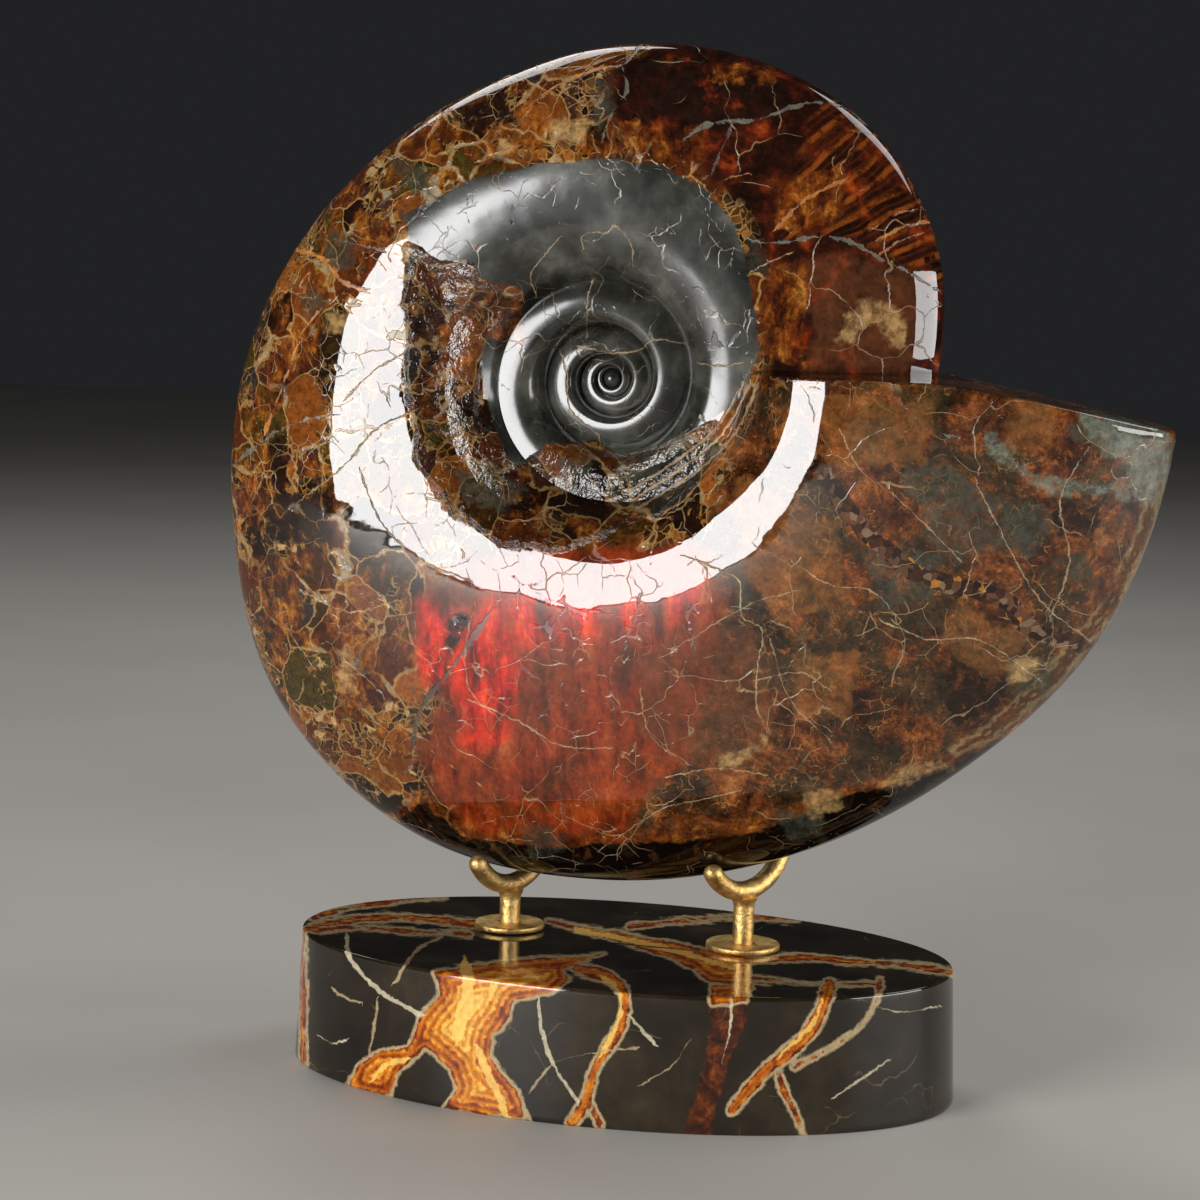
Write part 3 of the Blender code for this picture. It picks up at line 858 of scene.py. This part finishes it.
    def fractures(self, size, width, share):
        """A net of fine lines, in patches that cover about a share of the surface."""
        bent = self.warp(self.warp(self.at, 2 * size, 0.5 * size), 0.5 * size, 0.12 * size)
        low, high = 0.62 - 0.24 * share, 0.68 - 0.24 * share
        patches = self.between(self.noise(self.at, 2.2 * size, 4, 0.65), low, high)
        return self.times(self.between(self.edges(bent, size), width, 0.3 * width), patches)

    def output(self, colour, roughness, height=None, metallic=0.0, bump=1.0, ior=1.5):
        looks = {"Base Color": colour, "Roughness": roughness, "Metallic": metallic, "IOR": ior}
        if height is not None:
            looks["Normal"] = self.add("Bump", Strength=bump, Distance=MM, Height=height).outputs[0]
        for name, value in looks.items():
            self.put(self.shader.inputs[name], value)
        return self.material


# Sizes of the stones, and the waves of the ribs along an angle
STONE_SIZE, CHIP_SIZE, GRAVEL_SIZE = 15, 2.8, 2.1
RIBS_AROUND, FINE_RIBS_AROUND = 118.0, 290.0
INNER_DENT, DEEPEST_AT = 0.085, 40  # the sunken inner whorls: slope, and how far from their border it ends
GRAIN_FLOOR = 0.12

# Each group of lines: its colour, how strongly it covers, and how much thinner it is than drawn
VEIN_LOOKS = {"gold_0": ("a8682a", 0.8, 2.2), "gold_1": ("986028", 0.8, 2.0),
              "grey_0": ("5f5c50", 0.8, 2.6), "grey_1": ("40362e", 0.85, 2.0),
              "pale_0": ("b09468", 0.65, 0.6), "pale_1": ("a88a60", 0.55, 0.6),
              "pale_2": ("a88a60", 0.55, 0.6)}


class Fossil(Nodes):
    """The fossil's material, with the noises and zones that several of its layers share."""

    def __init__(self):
        super().__init__("fossil_looks")
        self.wide = self.noise(self.at, 15, 3)
        self.fine = self.noise(self.at, 3, 5, 0.6)
        self.ragged = self.plus(self.centred(self.wide, 26), self.centred(self.fine, 14))
        self.mottle = self.linear(self.noise(self.at, 3.0, 8, 0.66), 1.5, 0.25)
        harsh = self.noise(self.warp(self.at, 6, 2), 3.4, 8, 0.72)
        self.harsh = self.most(self.linear(harsh, 3.2, -0.6), 0.2)
        torn = self.between(self.noise(self.at, 4, 8, 0.76), 0.42, 0.54)
        self.torn = self.linear(torn, 0.6, 0.4)
        slate, self.inner, self.red, self.vivid = self.marks("zones_a")
        flank, self.bottom, ribbed, self.ribs = self.marks("zones_b")
        self.slate_share = self.zone(slate, 2, 0.45)
        self.ribbed_share, self.flank_share = self.zone(ribbed, 9), self.zone(flank, 9)
        self.broken = self.less(1, self.most(self.ribbed_share, self.flank_share))

    def zone(self, depth, soft=3.0, raggedness=1.0):
        """How much of a zone covers a point, with a ragged border."""
        return self.between(self.linear(self.ragged, raggedness, depth), -soft, soft)


def clear_amber(n):
    """Clear amber with dark depths and a few bright golden spots."""
    cloud = n.noise(n.warp(n.stretched((1, 1, 0.6)), 7, 2.5), 5, 8, 0.68)
    colour = n.ramp(cloud, [(0.32, "160905"), (0.43, "36170a"), (0.52, "63300f"), (0.6, "95561c"),
                            (0.68, "c08a3a"), (0.78, "e6c280")])
    return n.shade(colour, n.linear(n.noise(n.at, 1.5, 6, 0.7), 1.6, 0.15))


def amber_breccia(n, amber):
    """Angular stones of several sizes, with gold rims and pale veins between them. Also gives the veins."""
    rough = n.warp(n.warp(n.at, 26, 9), 5, 1.6)
    edge, lots = n.edges(rough, STONE_SIZE), n.lots(rough, STONE_SIZE)
    grain = n.most(n.linear(n.noise(n.at, 2.0, 9, 0.8), 4.2, -1.15), GRAIN_FLOOR)
    colour = n.ramp(lots[0], [(0.0, "1c0e07"), (0.15, "33200a"), (0.28, "46200c"), (0.4, "3a2e10"),
                              (0.52, "4c2410"), (0.62, "6a3a16"), (0.72, "2b2620"), (0.82, "7c4418"),
                              (0.91, "3c2218")], sharp=True)
    glow = n.times(n.between(lots[1], 0.35, 0.5), n.between(n.noise(n.at, 8, 5, 0.65), 0.4, 0.56))
    colour = n.mix(n.shade(colour, grain), amber, glow, 0.7)
    crushed = n.between(n.noise(n.at, 14, 5, 0.7), 0.52, 0.57)
    chips = n.ramp(n.lots(rough, CHIP_SIZE)[0],
                   [(0.0, "140b06"), (0.22, "3c210f"), (0.4, "62401f"), (0.56, "2c241a"), (0.7, "804e1e"),
                    (0.83, "4e3826"), (0.93, "a4865e")], sharp=True)
    colour = n.mix(colour, n.shade(chips, grain), crushed, 0.85)
    web = n.times(n.between(n.edges(rough, CHIP_SIZE), 0.22, 0.05), crushed)
    colour = n.mix(colour, "a8844a", web, 0.5)
    breadth = n.times(n.between(n.noise(n.at, 9, 4), 0.5, 0.74), 1.1)
    rim = n.between(n.less(edge, breadth), 0.42, 0.06)
    colour = n.mix(colour, n.shade("a8742c", n.linear(grain, 0.75, 0.1)), rim, 0.75)
    vein = n.between(n.less(edge, n.times(breadth, 0.5)), 0.16, 0.02)
    colour = n.mix(colour, n.shade("7c7460", n.linear(grain, 0.6, 0.35)), vein, 0.8)
    return colour, n.times(vein, n.between(breadth, 0.1, 0.6))


def red_stone(n):
    """Glowing red and orange, in streaks that run down from the coil."""
    streaks = n.noise(n.warp(n.stretched((1, 1, 0.3)), 9, 3), 6.5, 8, 0.66)
    colour = n.ramp(streaks, [(0.3, "2c1007"), (0.42, "561e0c"), (0.52, "7a2c12"), (0.62, "8f3a18"),
                              (0.74, "a4562a")])
    glow = n.ramp(streaks, [(0.34, "300a06"), (0.44, "84160c"), (0.53, "c22412"), (0.63, "de431c"),
                            (0.76, "ec7a30")])
    colour = n.mix(colour, glow, n.between(n.plus(n.vivid, n.centred(n.wide, 46)), -14, 8))
    cloudy = n.between(n.noise(n.warp(n.at, 14, 5), 13, 7, 0.7), 0.46, 0.58)
    colour = n.mix(colour, n.shade("5a3018", n.times(streaks, 2.0)), cloudy, 0.45)
    colour = n.shade(colour, n.linear(n.noise(n.at, 2, 8, 0.76), 2.0, -0.05))
    return n.mix(colour, "a06c44", n.fractures(8, 0.12, 0.15), 0.5)


def flank_stone(n):
    """Mottled brown, with greenish depths, orange glints and fine pale fractures."""
    cloud = n.noise(n.warp(n.warp(n.at, 30, 10), 4, 1.5), 12, 10, 0.76)
    colour = n.ramp(cloud, [(0.34, "160a05"), (0.43, "30180b"), (0.5, "4a2612"), (0.56, "643619"),
                            (0.63, "804c24"), (0.72, "a07440")])
    dim = n.between(n.noise(n.warp(n.at, 9, 4), 17, 8, 0.74), 0.48, 0.54)
    colour = n.mix(colour, n.shade("2e2819", n.linear(cloud, 3.0, -0.5)), dim, 0.75)
    spots = n.between(n.noise(n.warp(n.at, 5, 2), 4.5, 8, 0.78), 0.56, 0.64)
    colour = n.mix(colour, "92501c", spots, 0.6)
    tint = n.lots(n.warp(n.at, 3, 1.6), 3.2)[0]
    colour = n.shade(colour, n.linear(tint, 0.6, 0.7))
    fine = n.linear(n.noise(n.at, 1.4, 9, 0.82), 3.4, -0.7)
    colour = n.shade(colour, n.most(fine, 0.15))
    colour = n.mix(colour, "a8783c", n.fractures(2.6, 0.12, 0.15), 0.5)
    colour = n.mix(colour, "a88450", n.fractures(5, 0.13, 0.2), 0.5)
    return n.mix(colour, "b49870", n.fractures(12, 0.14, 0.35), 0.45)


def ribbed_stone(n):
    """Dark translucent brown with red-orange glows and the pale lines of growth."""
    cloud = n.noise(n.warp(n.at, 12, 4), 9, 6, 0.62)
    colour = n.ramp(cloud, [(0.3, "0c0604"), (0.47, "200d07"), (0.57, "3c150a"), (0.66, "70290c"),
                            (0.78, "b0561a")])
    colour = n.shade(colour, n.linear(n.noise(n.at, 1.8, 8, 0.78), 2.4, -0.15))
    part = n.add("SeparateXYZ", n.warp(n.at, 22, 3.0)).outputs
    angle = n.math("ARCTAN2", n.less(part[2], COIL_Z), n.less(part[0], COIL_X))
    ribs = n.between(n.math("SINE", n.times(angle, RIBS_AROUND)), 0.1, 1.0)
    fine_ribs = n.math("SINE", n.times(angle, FINE_RIBS_AROUND))
    patchy = n.between(n.noise(n.at, 5, 7, 0.74), 0.38, 0.58)
    lit = n.linear(fine_ribs, 0.14, n.times(ribs, patchy))
    share = n.math("MULTIPLY", lit, n.between(n.ribs, -12, 8), clamp=True)
    offset = n.vector("SUBTRACT", n.at, (COIL_X, 0, COIL_Z))
    distance = n.vector("LENGTH", n.vector("MULTIPLY", offset, (1, 0, 1)))
    tone = n.mix("8a4414", "b88a52", n.between(distance, 105, 128))
    return n.mix(colour, tone, share, 0.7)


def slate_stone(n):
    """Blue-grey, with clouds and a few rusty specks."""
    colour = n.ramp(n.noise(n.warp(n.at, 12, 4), 14, 6, 0.6),
                    [(0.3, "0f0f0d"), (0.45, "24241f"), (0.58, "3a3a35"), (0.72, "55534b")])
    rust = n.times(n.between(n.noise(n.at, 5, 6, 0.7), 0.64, 0.7), n.between(n.wide, 0.5, 0.6))
    return n.mix(colour, "9a5520", rust, 0.8)


def stones(n, breccia, amber):
    """Each kind of stone in its zone. The sunken inner whorls get a darker copy of the breccia as painted
    shade, and the lower rim goes near black: its own dark stone with painted shade.
    """
    colour = n.mix(breccia, ribbed_stone(n), n.ribbed_share)
    colour = n.mix(colour, flank_stone(n), n.flank_share)
    colour = n.mix(colour, red_stone(n), n.zone(n.red, 8))
    # A darker copy of the breccia over the sunken inner whorls: painted shade.
    colour = n.mix(colour, n.shade(breccia, 0.62), n.zone(n.inner, 4))
    colour = n.mix(colour, slate_stone(n), n.slate_share)
    # Near black along the lower rim: the rim's own dark stone, and painted shade where it turns under.
    dark_rim_and_shade = n.mix("0c0604", "3a2210", n.between(n.noise(n.at, 7, 6, 0.7), 0.56, 0.66))
    border = n.times(n.zone(n.plus(n.bottom, 12), 5, 0.8), n.torn)
    colour = n.mix(colour, amber, border, 0.8)
    return n.mix(colour, dark_rim_and_shade, n.zone(n.bottom, 2, 0.7))


def add_patches(n, colour, amber):
    """Patches of other stone, and the layers along the rim. The grey-green patch at the tip also paints the
    highlight on its facets.
    """
    grey, dark, amber_patch, cream = n.marks("patches_a")
    tan, smooth, lip_and_highlight, rim_band = n.marks("patches_b")
    colour = n.mix(colour, n.shade("583420", n.times(n.harsh, n.mottle)), n.zone(smooth, 8), 0.5)
    layers = n.times(n.noise(n.warp(n.at, 14, 1.5), 3, 2, 0.5), 9)
    layers = n.math("SINE", n.linear(rim_band, 0.55, layers))
    layered = n.mix("4a2c14", "7d6a46", n.between(layers, -0.8, 1))
    colour = n.mix(colour, n.shade(layered, n.harsh), n.zone(n.less(rim_band, 4), 3, 0.35), 0.65)
    # The grey-green at the tip is paler where it stands for a painted highlight on the facets.
    for depth, tone, amount in ((grey, n.shade("38392f", n.harsh), 0.7),
                                (dark, n.shade("1b0f0a", n.harsh), 1.0),
                                (tan, n.shade("7c5028", n.harsh), 0.5), (amber_patch, amber, 0.8),
                                (lip_and_highlight, n.shade("646a5c", n.harsh), 0.75),
                                (cream, n.shade("a08052", n.harsh), 0.7)):
        colour = n.mix(colour, tone, n.times(n.zone(depth, 4, 1.5), n.torn), amount)
    return colour


def add_lines(n, colour):
    """The chain of gravel, then the veins and cracks. Also gives where these cover the surface."""
    wander = n.centred(n.noise(n.at, 2.2, 5, 0.65), 7)
    uneven = n.centred(n.noise(n.at, 6, 3, 0.6), 9, 0.52)
    gravel = n.ramp(n.lots(n.warp(n.at, 3, 0.8), GRAVEL_SIZE)[0],
                    [(0.0, "120906"), (0.35, "30190f"), (0.6, "523626"), (0.82, "705a46"),
                     (0.93, "a0661a")], sharp=True)
    colour = n.mix(colour, n.shade(gravel, n.mottle), n.line("chain_0", n.times(wander, 2.2), 2), 0.85)
    grooves = 0.0
    for name, (tone, amount, thinner) in VEIN_LOOKS.items():
        cover = n.line(name, wander, n.linear(uneven, 0.5 * thinner, -thinner))
        colour = n.mix(colour, n.shade(tone, n.harsh), cover, amount)
        grooves = n.most(grooves, cover)
    return colour, grooves


def hair_cracks(n):
    """A few long cracks and patches of short ones, fewer on the slate."""
    long = n.edges(n.warp(n.warp(n.at, 20, 8), 4, 1.2), 24)
    long = n.times(n.between(long, 0.24, 0.06), n.between(n.wide, 0.48, 0.6))
    short = n.times(n.fractures(9, 0.13, 0.45), n.broken)
    return n.times(n.most(long, short), n.linear(n.slate_share, -0.6, 1))


def relief(n, seams, grooves, hair):
    """The roughness, and the height in millimetres."""
    off_slate = n.less(1, n.slate_share)
    crusty = n.times(n.zone(n.inner, 4), off_slate)
    roughness = n.linear(n.fine, 0.03, 0.01)
    for area, amount in ((crusty, 0.12), (n.most(grooves, hair), 0.3), (seams, 0.3), (n.slate_share, 0.13)):
        roughness = n.linear(area, amount, roughness)
    height = n.times(n.noise(n.at, 24, 2, 0.4), 0.35)
    height = n.linear(n.noise(n.at, 7, 2, 0.4), 0.035, height)
    for area, depth in ((seams, 0.1), (hair, 0.08), (grooves, 0.12)):
        height = n.linear(area, -depth, height)
    dent = n.times(n.math("MINIMUM", n.most(n.inner, 0), DEEPEST_AT), INNER_DENT)
    pits = n.times(n.noise(n.at, 5, 4, 0.6), n.times(crusty, 1.4))
    return roughness, n.less(n.plus(height, pits), n.times(dent, off_slate))


def fossil_material():
    n = Fossil()
    amber = clear_amber(n)
    breccia, seams = amber_breccia(n, amber)
    colour = add_patches(n, stones(n, breccia, amber), amber)
    colour, grooves = add_lines(n, colour)
    hair = hair_cracks(n)
    colour = n.mix(colour, "9c8058", hair, 0.5)
    return n.output(colour, *relief(n, n.times(seams, n.broken), grooves, hair), ior=1.52)


def stone_material():
    """Charcoal stone with banded amber areas, pale rims and veins."""
    n = Nodes("base_looks")
    fine, wide = n.noise(n.at, 3, 6, 0.65), n.noise(n.at, 14, 4, 0.6)
    colour = n.ramp(n.noise(n.at, 24, 6, 0.6),
                    [(0.3, "130f09"), (0.5, "211a11"), (0.65, "30271a"), (0.8, "3f3526")])
    ragged = n.plus(n.centred(fine, 7), n.centred(wide, 14))
    amber, brown, _, _ = n.marks("amber")
    depth = n.plus(amber, ragged)
    grain = n.times(n.noise(n.at, 1.8, 8, 0.74), 2.0)
    bands = n.noise(n.warp(n.at, 8, 3), 4, 6, 0.7)
    waves = n.math("SINE", n.linear(amber, 0.9, n.times(bands, 9)))
    inner = n.linear(waves, 0.16, n.linear(depth, 0.02, n.centred(bands, 1.6)))
    body = n.ramp(n.plus(inner, 0.3),
                  [(0.0, "441804"), (0.28, "7c3006"), (0.5, "a8560a"), (0.74, "c8821c"), (1.0, "e2b04e")])
    dark_band = n.ramp(bands, [(0.35, "1e0b05"), (0.5, "421a08"), (0.62, "6e3210"), (0.75, "94501c")])
    colour = n.mix(colour, dark_band, n.between(n.plus(brown, ragged), -2, 2), 0.85)
    colour = n.mix(colour, n.shade("b09a72", grain), n.between(depth, -3.5, -1), 0.75)
    colour = n.mix(colour, n.shade(body, grain), n.between(depth, 0.2, 1.4))
    wander = n.centred(n.noise(n.at, 2.4, 5, 0.65), 7)
    core = n.line("core", n.times(wander, 1.6), n.centred(wide, 9))
    colour = n.mix(colour, n.shade("ecc060", n.linear(grain, 0.5, 0.4)), core, 0.75)
    for name, tone in (("white_0", "b8ac90"), ("white_1", "a08c6a")):
        cover = n.line(name, wander, n.centred(wide, 6, 0.55))
        colour = n.mix(colour, n.shade(tone, grain), cover, 0.8)
    hair = n.edges(n.warp(n.warp(n.at, 24, 9), 5, 1.5), 34)
    hair = n.times(n.between(hair, 0.22, 0.06), n.between(wide, 0.5, 0.62))
    colour = n.mix(colour, "6a5c42", hair, 0.5)
    return n.output(colour, n.linear(fine, 0.06, 0.03), n.times(n.noise(n.at, 18, 2, 0.4), 0.05))


def brass_material():
    n = Nodes("brass_looks")
    blotch = n.noise(n.at, 4, 5, 0.6)
    colour = n.ramp(blotch, [(0.3, "a8864c"), (0.55, "d0ac6c"), (0.8, "e6cc98")])
    height = n.times(n.noise(n.at, 1.6, 4, 0.6), 0.5)
    return n.output(colour, n.linear(blotch, 0.35, 0.3), height, metallic=1.0, bump=0.7)


# The base
BASE_HALF_LENGTH, BASE_HALF_DEPTH, BASE_HEIGHT = 100.0, 59.0, 39.5
BASE_FULLNESS, BASE_FLARE, BASE_CHAMFER = 0.962, 1.57, 0.8
BASE_COLUMNS, BASE_SIDE_ROWS, BASE_TOP_ROWS, CHAMFER_STEPS = 640, 26, 56, 4

# The cradles and collars
POST_X = {"left": -38.1, "right": 35.3}
POST_Y = COIL_Y
POST_RADIUS, POST_DEPTH = 3.15, 15.0
FORK_BOTTOM = {"left": 53.45, "right": 57.3}
FORK_RADIUS = {"left": 17.5, "right": 16.2}
FORK_FRONT = {"left": math.radians(57), "right": math.radians(54)}
FORK_BACK = {"left": math.radians(62), "right": math.radians(66)}
FORK_TURN = {"left": math.radians(25), "right": math.radians(33)}
FORK_BAR_RADIUS = 2.9
BAR_STEPS, BAR_SIDES, BAR_END_STEPS = 48, 28, 6
POINTED = 0.01  # how wide a closed end stays
JOINT_RADIUS, JOINT_HEIGHT, JOINT_STEPS = 4.1, 3.2, 6  # the solder where the bar meets the post
JOINT_TOP, POST_TOP = 2.0, 0.5  # how far the solder and the post end below the bar's middle
COLLAR_GAP = 0.3
COLLAR_RADIUS = {"left": 10.7, "right": 11.1}
COLLAR_LOW, COLLAR_HEIGHT, COLLAR_ROUND = 39.8, 1.7, 0.5
COLLAR_SIDES, COLLAR_EDGE_POINTS = 96, 6


def oval_row(surface, height, grow):
    angle = 2 * math.pi * np.arange(BASE_COLUMNS + 1) / BASE_COLUMNS
    across = np.copysign(np.abs(np.sin(angle)) ** BASE_FULLNESS, np.sin(angle))
    return surface.row(np.stack([(BASE_HALF_LENGTH + grow) * np.cos(angle),
                                 (BASE_HALF_DEPTH + grow) * across, np.full(len(angle), height)], 1))


def base_rows(surface):
    """Rows from the underside, up the side and over the round edge to the middle of the top."""
    edge = BASE_CHAMFER
    low_edge = edge / 2
    rows = [oval_row(surface, 0, -BASE_HALF_DEPTH / 2), oval_row(surface, 0, BASE_FLARE - low_edge)]
    for share in np.linspace(0, 1, BASE_SIDE_ROWS + 1):
        height = low_edge + (BASE_HEIGHT - edge - low_edge) * share
        rows.append(oval_row(surface, height, BASE_FLARE * (1 - share)))
    for turned in np.linspace(0, math.pi / 2, CHAMFER_STEPS + 1)[1:]:
        height = BASE_HEIGHT - edge * (1 - math.sin(turned))
        rows.append(oval_row(surface, height, -edge * (1 - math.cos(turned))))
    for share in np.linspace(0, 1, BASE_TOP_ROWS + 1)[1:-1]:
        rows.append(oval_row(surface, BASE_HEIGHT, -edge - (BASE_HALF_DEPTH - edge) * share))
    return rows


def build_base(finish):
    surface = Surface()
    rows = base_rows(surface)
    around = np.arange(BASE_COLUMNS + 1)
    for low, high in zip(rows, rows[1:]):
        surface.strip(low, around, high, around)
    for row in (rows[0], rows[-1]):
        surface.faces.append(tuple(row[:-1]))
    return surface.object("base_looks", finish, sharp_from=50)


def mark_base(obj):
    """The far side takes the marks of the near side, mirrored about the outermost points seen."""
    points = vertex_points(obj)
    halves = (BASE_HALF_LENGTH, BASE_HALF_DEPTH)
    forward = np.array([-math.sin(CAMERA_TURN), math.cos(CAMERA_TURN)]) / halves
    forward /= np.linalg.norm(forward)
    side = points[:, 2] < BASE_HEIGHT - BASE_CHAMFER / 2
    flat = points[:, :2] / halves
    beyond = np.maximum(flat @ forward, 0) * side
    points[:, :2] = (flat - 2 * beyond[:, None] * forward) * halves
    places = in_picture(points)
    areas = np.maximum(outline_depth(places, BASE_AREAS), line_depth(places, BASE_BANDS))
    add_marks(obj, "amber", [areas, outline_depth(places, BASE_BROWN)])
    add_marks(obj, "core", line_marks(places, BASE_CORES))
    for k, lines in enumerate(BASE_WHITE):
        add_marks(obj, f"white_{k}", line_marks(places, lines))


def ring_rows(surface, rings):
    """A skin over rings of equally many points."""
    rows = [surface.row(np.concatenate([ring, ring[:1]])) for ring in rings]
    around = np.arange(len(rings[0]) + 1)
    for low, high in zip(rows, rows[1:]):
        surface.strip(low, around, high, around)


def around_post(side, profile, sides):
    """Rings around a post's axis, one for each radius and height of the profile."""
    spin = 2 * math.pi * np.arange(sides) / sides
    return [np.stack([POST_X[side] + radius * np.cos(spin), POST_Y + radius * np.sin(spin),
                      np.full(sides, height)], 1) for radius, height in profile]


def fork_rings(side):
    """Rings along the bent bar, which ends in half balls."""
    arc, turn = FORK_RADIUS[side], FORK_TURN[side]
    centre = np.array([POST_X[side], POST_Y, FORK_BOTTOM[side] + arc])
    along = np.array([math.sin(turn), math.cos(turn), 0])
    sideways = np.array([along[1], -along[0], 0])
    up = np.array([0, 0, 1])
    front, back = -FORK_FRONT[side], FORK_BACK[side]
    stations = [(angle, 1.0) for angle in np.linspace(front, back, BAR_STEPS + 1)]
    for turned in np.linspace(0, math.pi / 2, BAR_END_STEPS + 1)[1:]:
        beyond = math.sin(turned) * FORK_BAR_RADIUS / arc
        size = max(math.cos(turned), POINTED)
        stations = [(front - beyond, size)] + stations + [(back + beyond, size)]
    spin = 2 * math.pi * np.arange(BAR_SIDES) / BAR_SIDES
    rings = []
    for angle, size in stations:
        outward = math.sin(angle) * along - math.cos(angle) * up
        spokes = np.outer(np.cos(spin), outward) + np.outer(np.sin(spin), sideways)
        rings.append(centre + arc * outward + FORK_BAR_RADIUS * size * spokes)
    return rings


def post_profile(side):
    """The straight post, flaring into the solder at its top."""
    foot, top = BASE_HEIGHT - POST_DEPTH, FORK_BOTTOM[side] - JOINT_TOP
    profile = [(POINTED, foot), (POST_RADIUS, foot), (POST_RADIUS, top - JOINT_HEIGHT)]
    for share in np.linspace(0, 1, JOINT_STEPS + 1)[1:]:
        flare = (JOINT_RADIUS - POST_RADIUS) * share**2
        profile.append((POST_RADIUS + flare, top - JOINT_HEIGHT * (1 - share)))
    return profile + [(POINTED, FORK_BOTTOM[side] - POST_TOP)]


def build_cradle(side, finish):
    surface = Surface()
    ring_rows(surface, fork_rings(side))
    ring_rows(surface, around_post(side, post_profile(side), BAR_SIDES))
    return surface.object(f"cradle_looks_{side}", finish)


def build_collar(side, finish):
    inner, outer, edge = POST_RADIUS + COLLAR_GAP, COLLAR_RADIUS[side], COLLAR_ROUND
    low, high = COLLAR_LOW, COLLAR_LOW + COLLAR_HEIGHT
    profile = [(inner, low), (outer - edge / 2, low), (outer, low + edge / 2)]
    for turned in np.linspace(0, math.pi / 2, COLLAR_EDGE_POINTS):
        profile.append((outer - edge * (1 - math.cos(turned)), high - edge * (1 - math.sin(turned))))
    profile += [(inner, high), (inner, low)]
    surface = Surface()
    ring_rows(surface, around_post(side, profile, COLLAR_SIDES))
    return surface.object(f"collar_looks_{side}", finish, sharp_from=50)


# The studio
FLOOR_HALF_WIDTH = 3000.0
LIT_POINT = (0, 0, 209)
ROOM_COLOUR, ROOM_LIGHT = "8a8c90", 0.06

# Each light: azimuth from the front, positive to the right, height angle, distance, size and power
SOFTBOXES = {"left_softbox": (-29, 3.6, 1250, (577, 560), 20),
             "right_strip": (84, 2, 1100, (950, 380), 11),
             "back_right_softbox": (132, 46, 1500, (700, 700), 6),
             "back_left_softbox": (-138, 46, 1500, (700, 700), 6)}


def floor_material():
    n = Nodes("pale_floor")
    return n.output(n.ramp(n.noise(n.at, 260, 4, 0.5), [(0.3, "b3afa8"), (0.7, "bdb9b2")]), 0.6)


def add_softbox(name, azimuth, height_angle, distance, size, power):
    """A rectangular light. Angles are in degrees and sizes in millimetres."""
    light = bpy.data.lights.new(name, "AREA")
    light.shape = "RECTANGLE"
    light.size, light.size_y = size[0] * MM, size[1] * MM
    light.energy = power
    lamp = bpy.data.objects.new(name, light)
    turn, rise = math.radians(azimuth), math.radians(height_angle)
    level = math.cos(rise)
    direction = Vector((math.sin(turn) * level, -math.cos(turn) * level, math.sin(rise)))
    lamp.location = (Vector(LIT_POINT) + direction * distance) * MM
    lamp.rotation_euler = direction.to_track_quat("Z", "Y").to_euler()
    bpy.context.scene.collection.objects.link(lamp)


def add_floor():
    floor = Surface()
    wide = FLOOR_HALF_WIDTH
    low = floor.row([(-wide, -wide, 0), (wide, -wide, 0)])
    high = floor.row([(-wide, wide, 0), (wide, wide, 0)])
    floor.strip(low, (0, 1), high, (0, 1))
    floor.object("floor", floor_material())


def add_studio():
    add_floor()
    world = bpy.data.worlds.new("studio")
    world.use_nodes = True
    background = world.node_tree.nodes["Background"].inputs
    background["Color"].default_value = (*srgb(ROOM_COLOUR), 1)
    background["Strength"].default_value = ROOM_LIGHT
    bpy.context.scene.world = world
    bpy.context.scene.view_settings.view_transform = "Standard"
    for name, values in SOFTBOXES.items():
        add_softbox(name, *values)


def dress(obj, node):
    """Puts a finished piece in place of a plain node."""
    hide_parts(node)
    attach(obj, "root")


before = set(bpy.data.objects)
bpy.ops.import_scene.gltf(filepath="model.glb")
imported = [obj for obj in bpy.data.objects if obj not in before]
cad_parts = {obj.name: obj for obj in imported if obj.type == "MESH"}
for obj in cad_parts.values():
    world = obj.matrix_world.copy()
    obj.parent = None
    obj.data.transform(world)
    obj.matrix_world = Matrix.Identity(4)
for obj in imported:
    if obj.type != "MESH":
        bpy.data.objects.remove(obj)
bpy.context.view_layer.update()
add_camera()
add_studio()

shell = build_ammonite(fossil_material())
mark_shell(shell)
dress(shell, "ammonite")
base = build_base(stone_material())
mark_base(base)
dress(base, "base")
brass = brass_material()
for side in ("left", "right"):
    dress(build_cradle(side, brass), f"cradle_{side}")
    dress(build_collar(side, brass), f"collar_{side}")
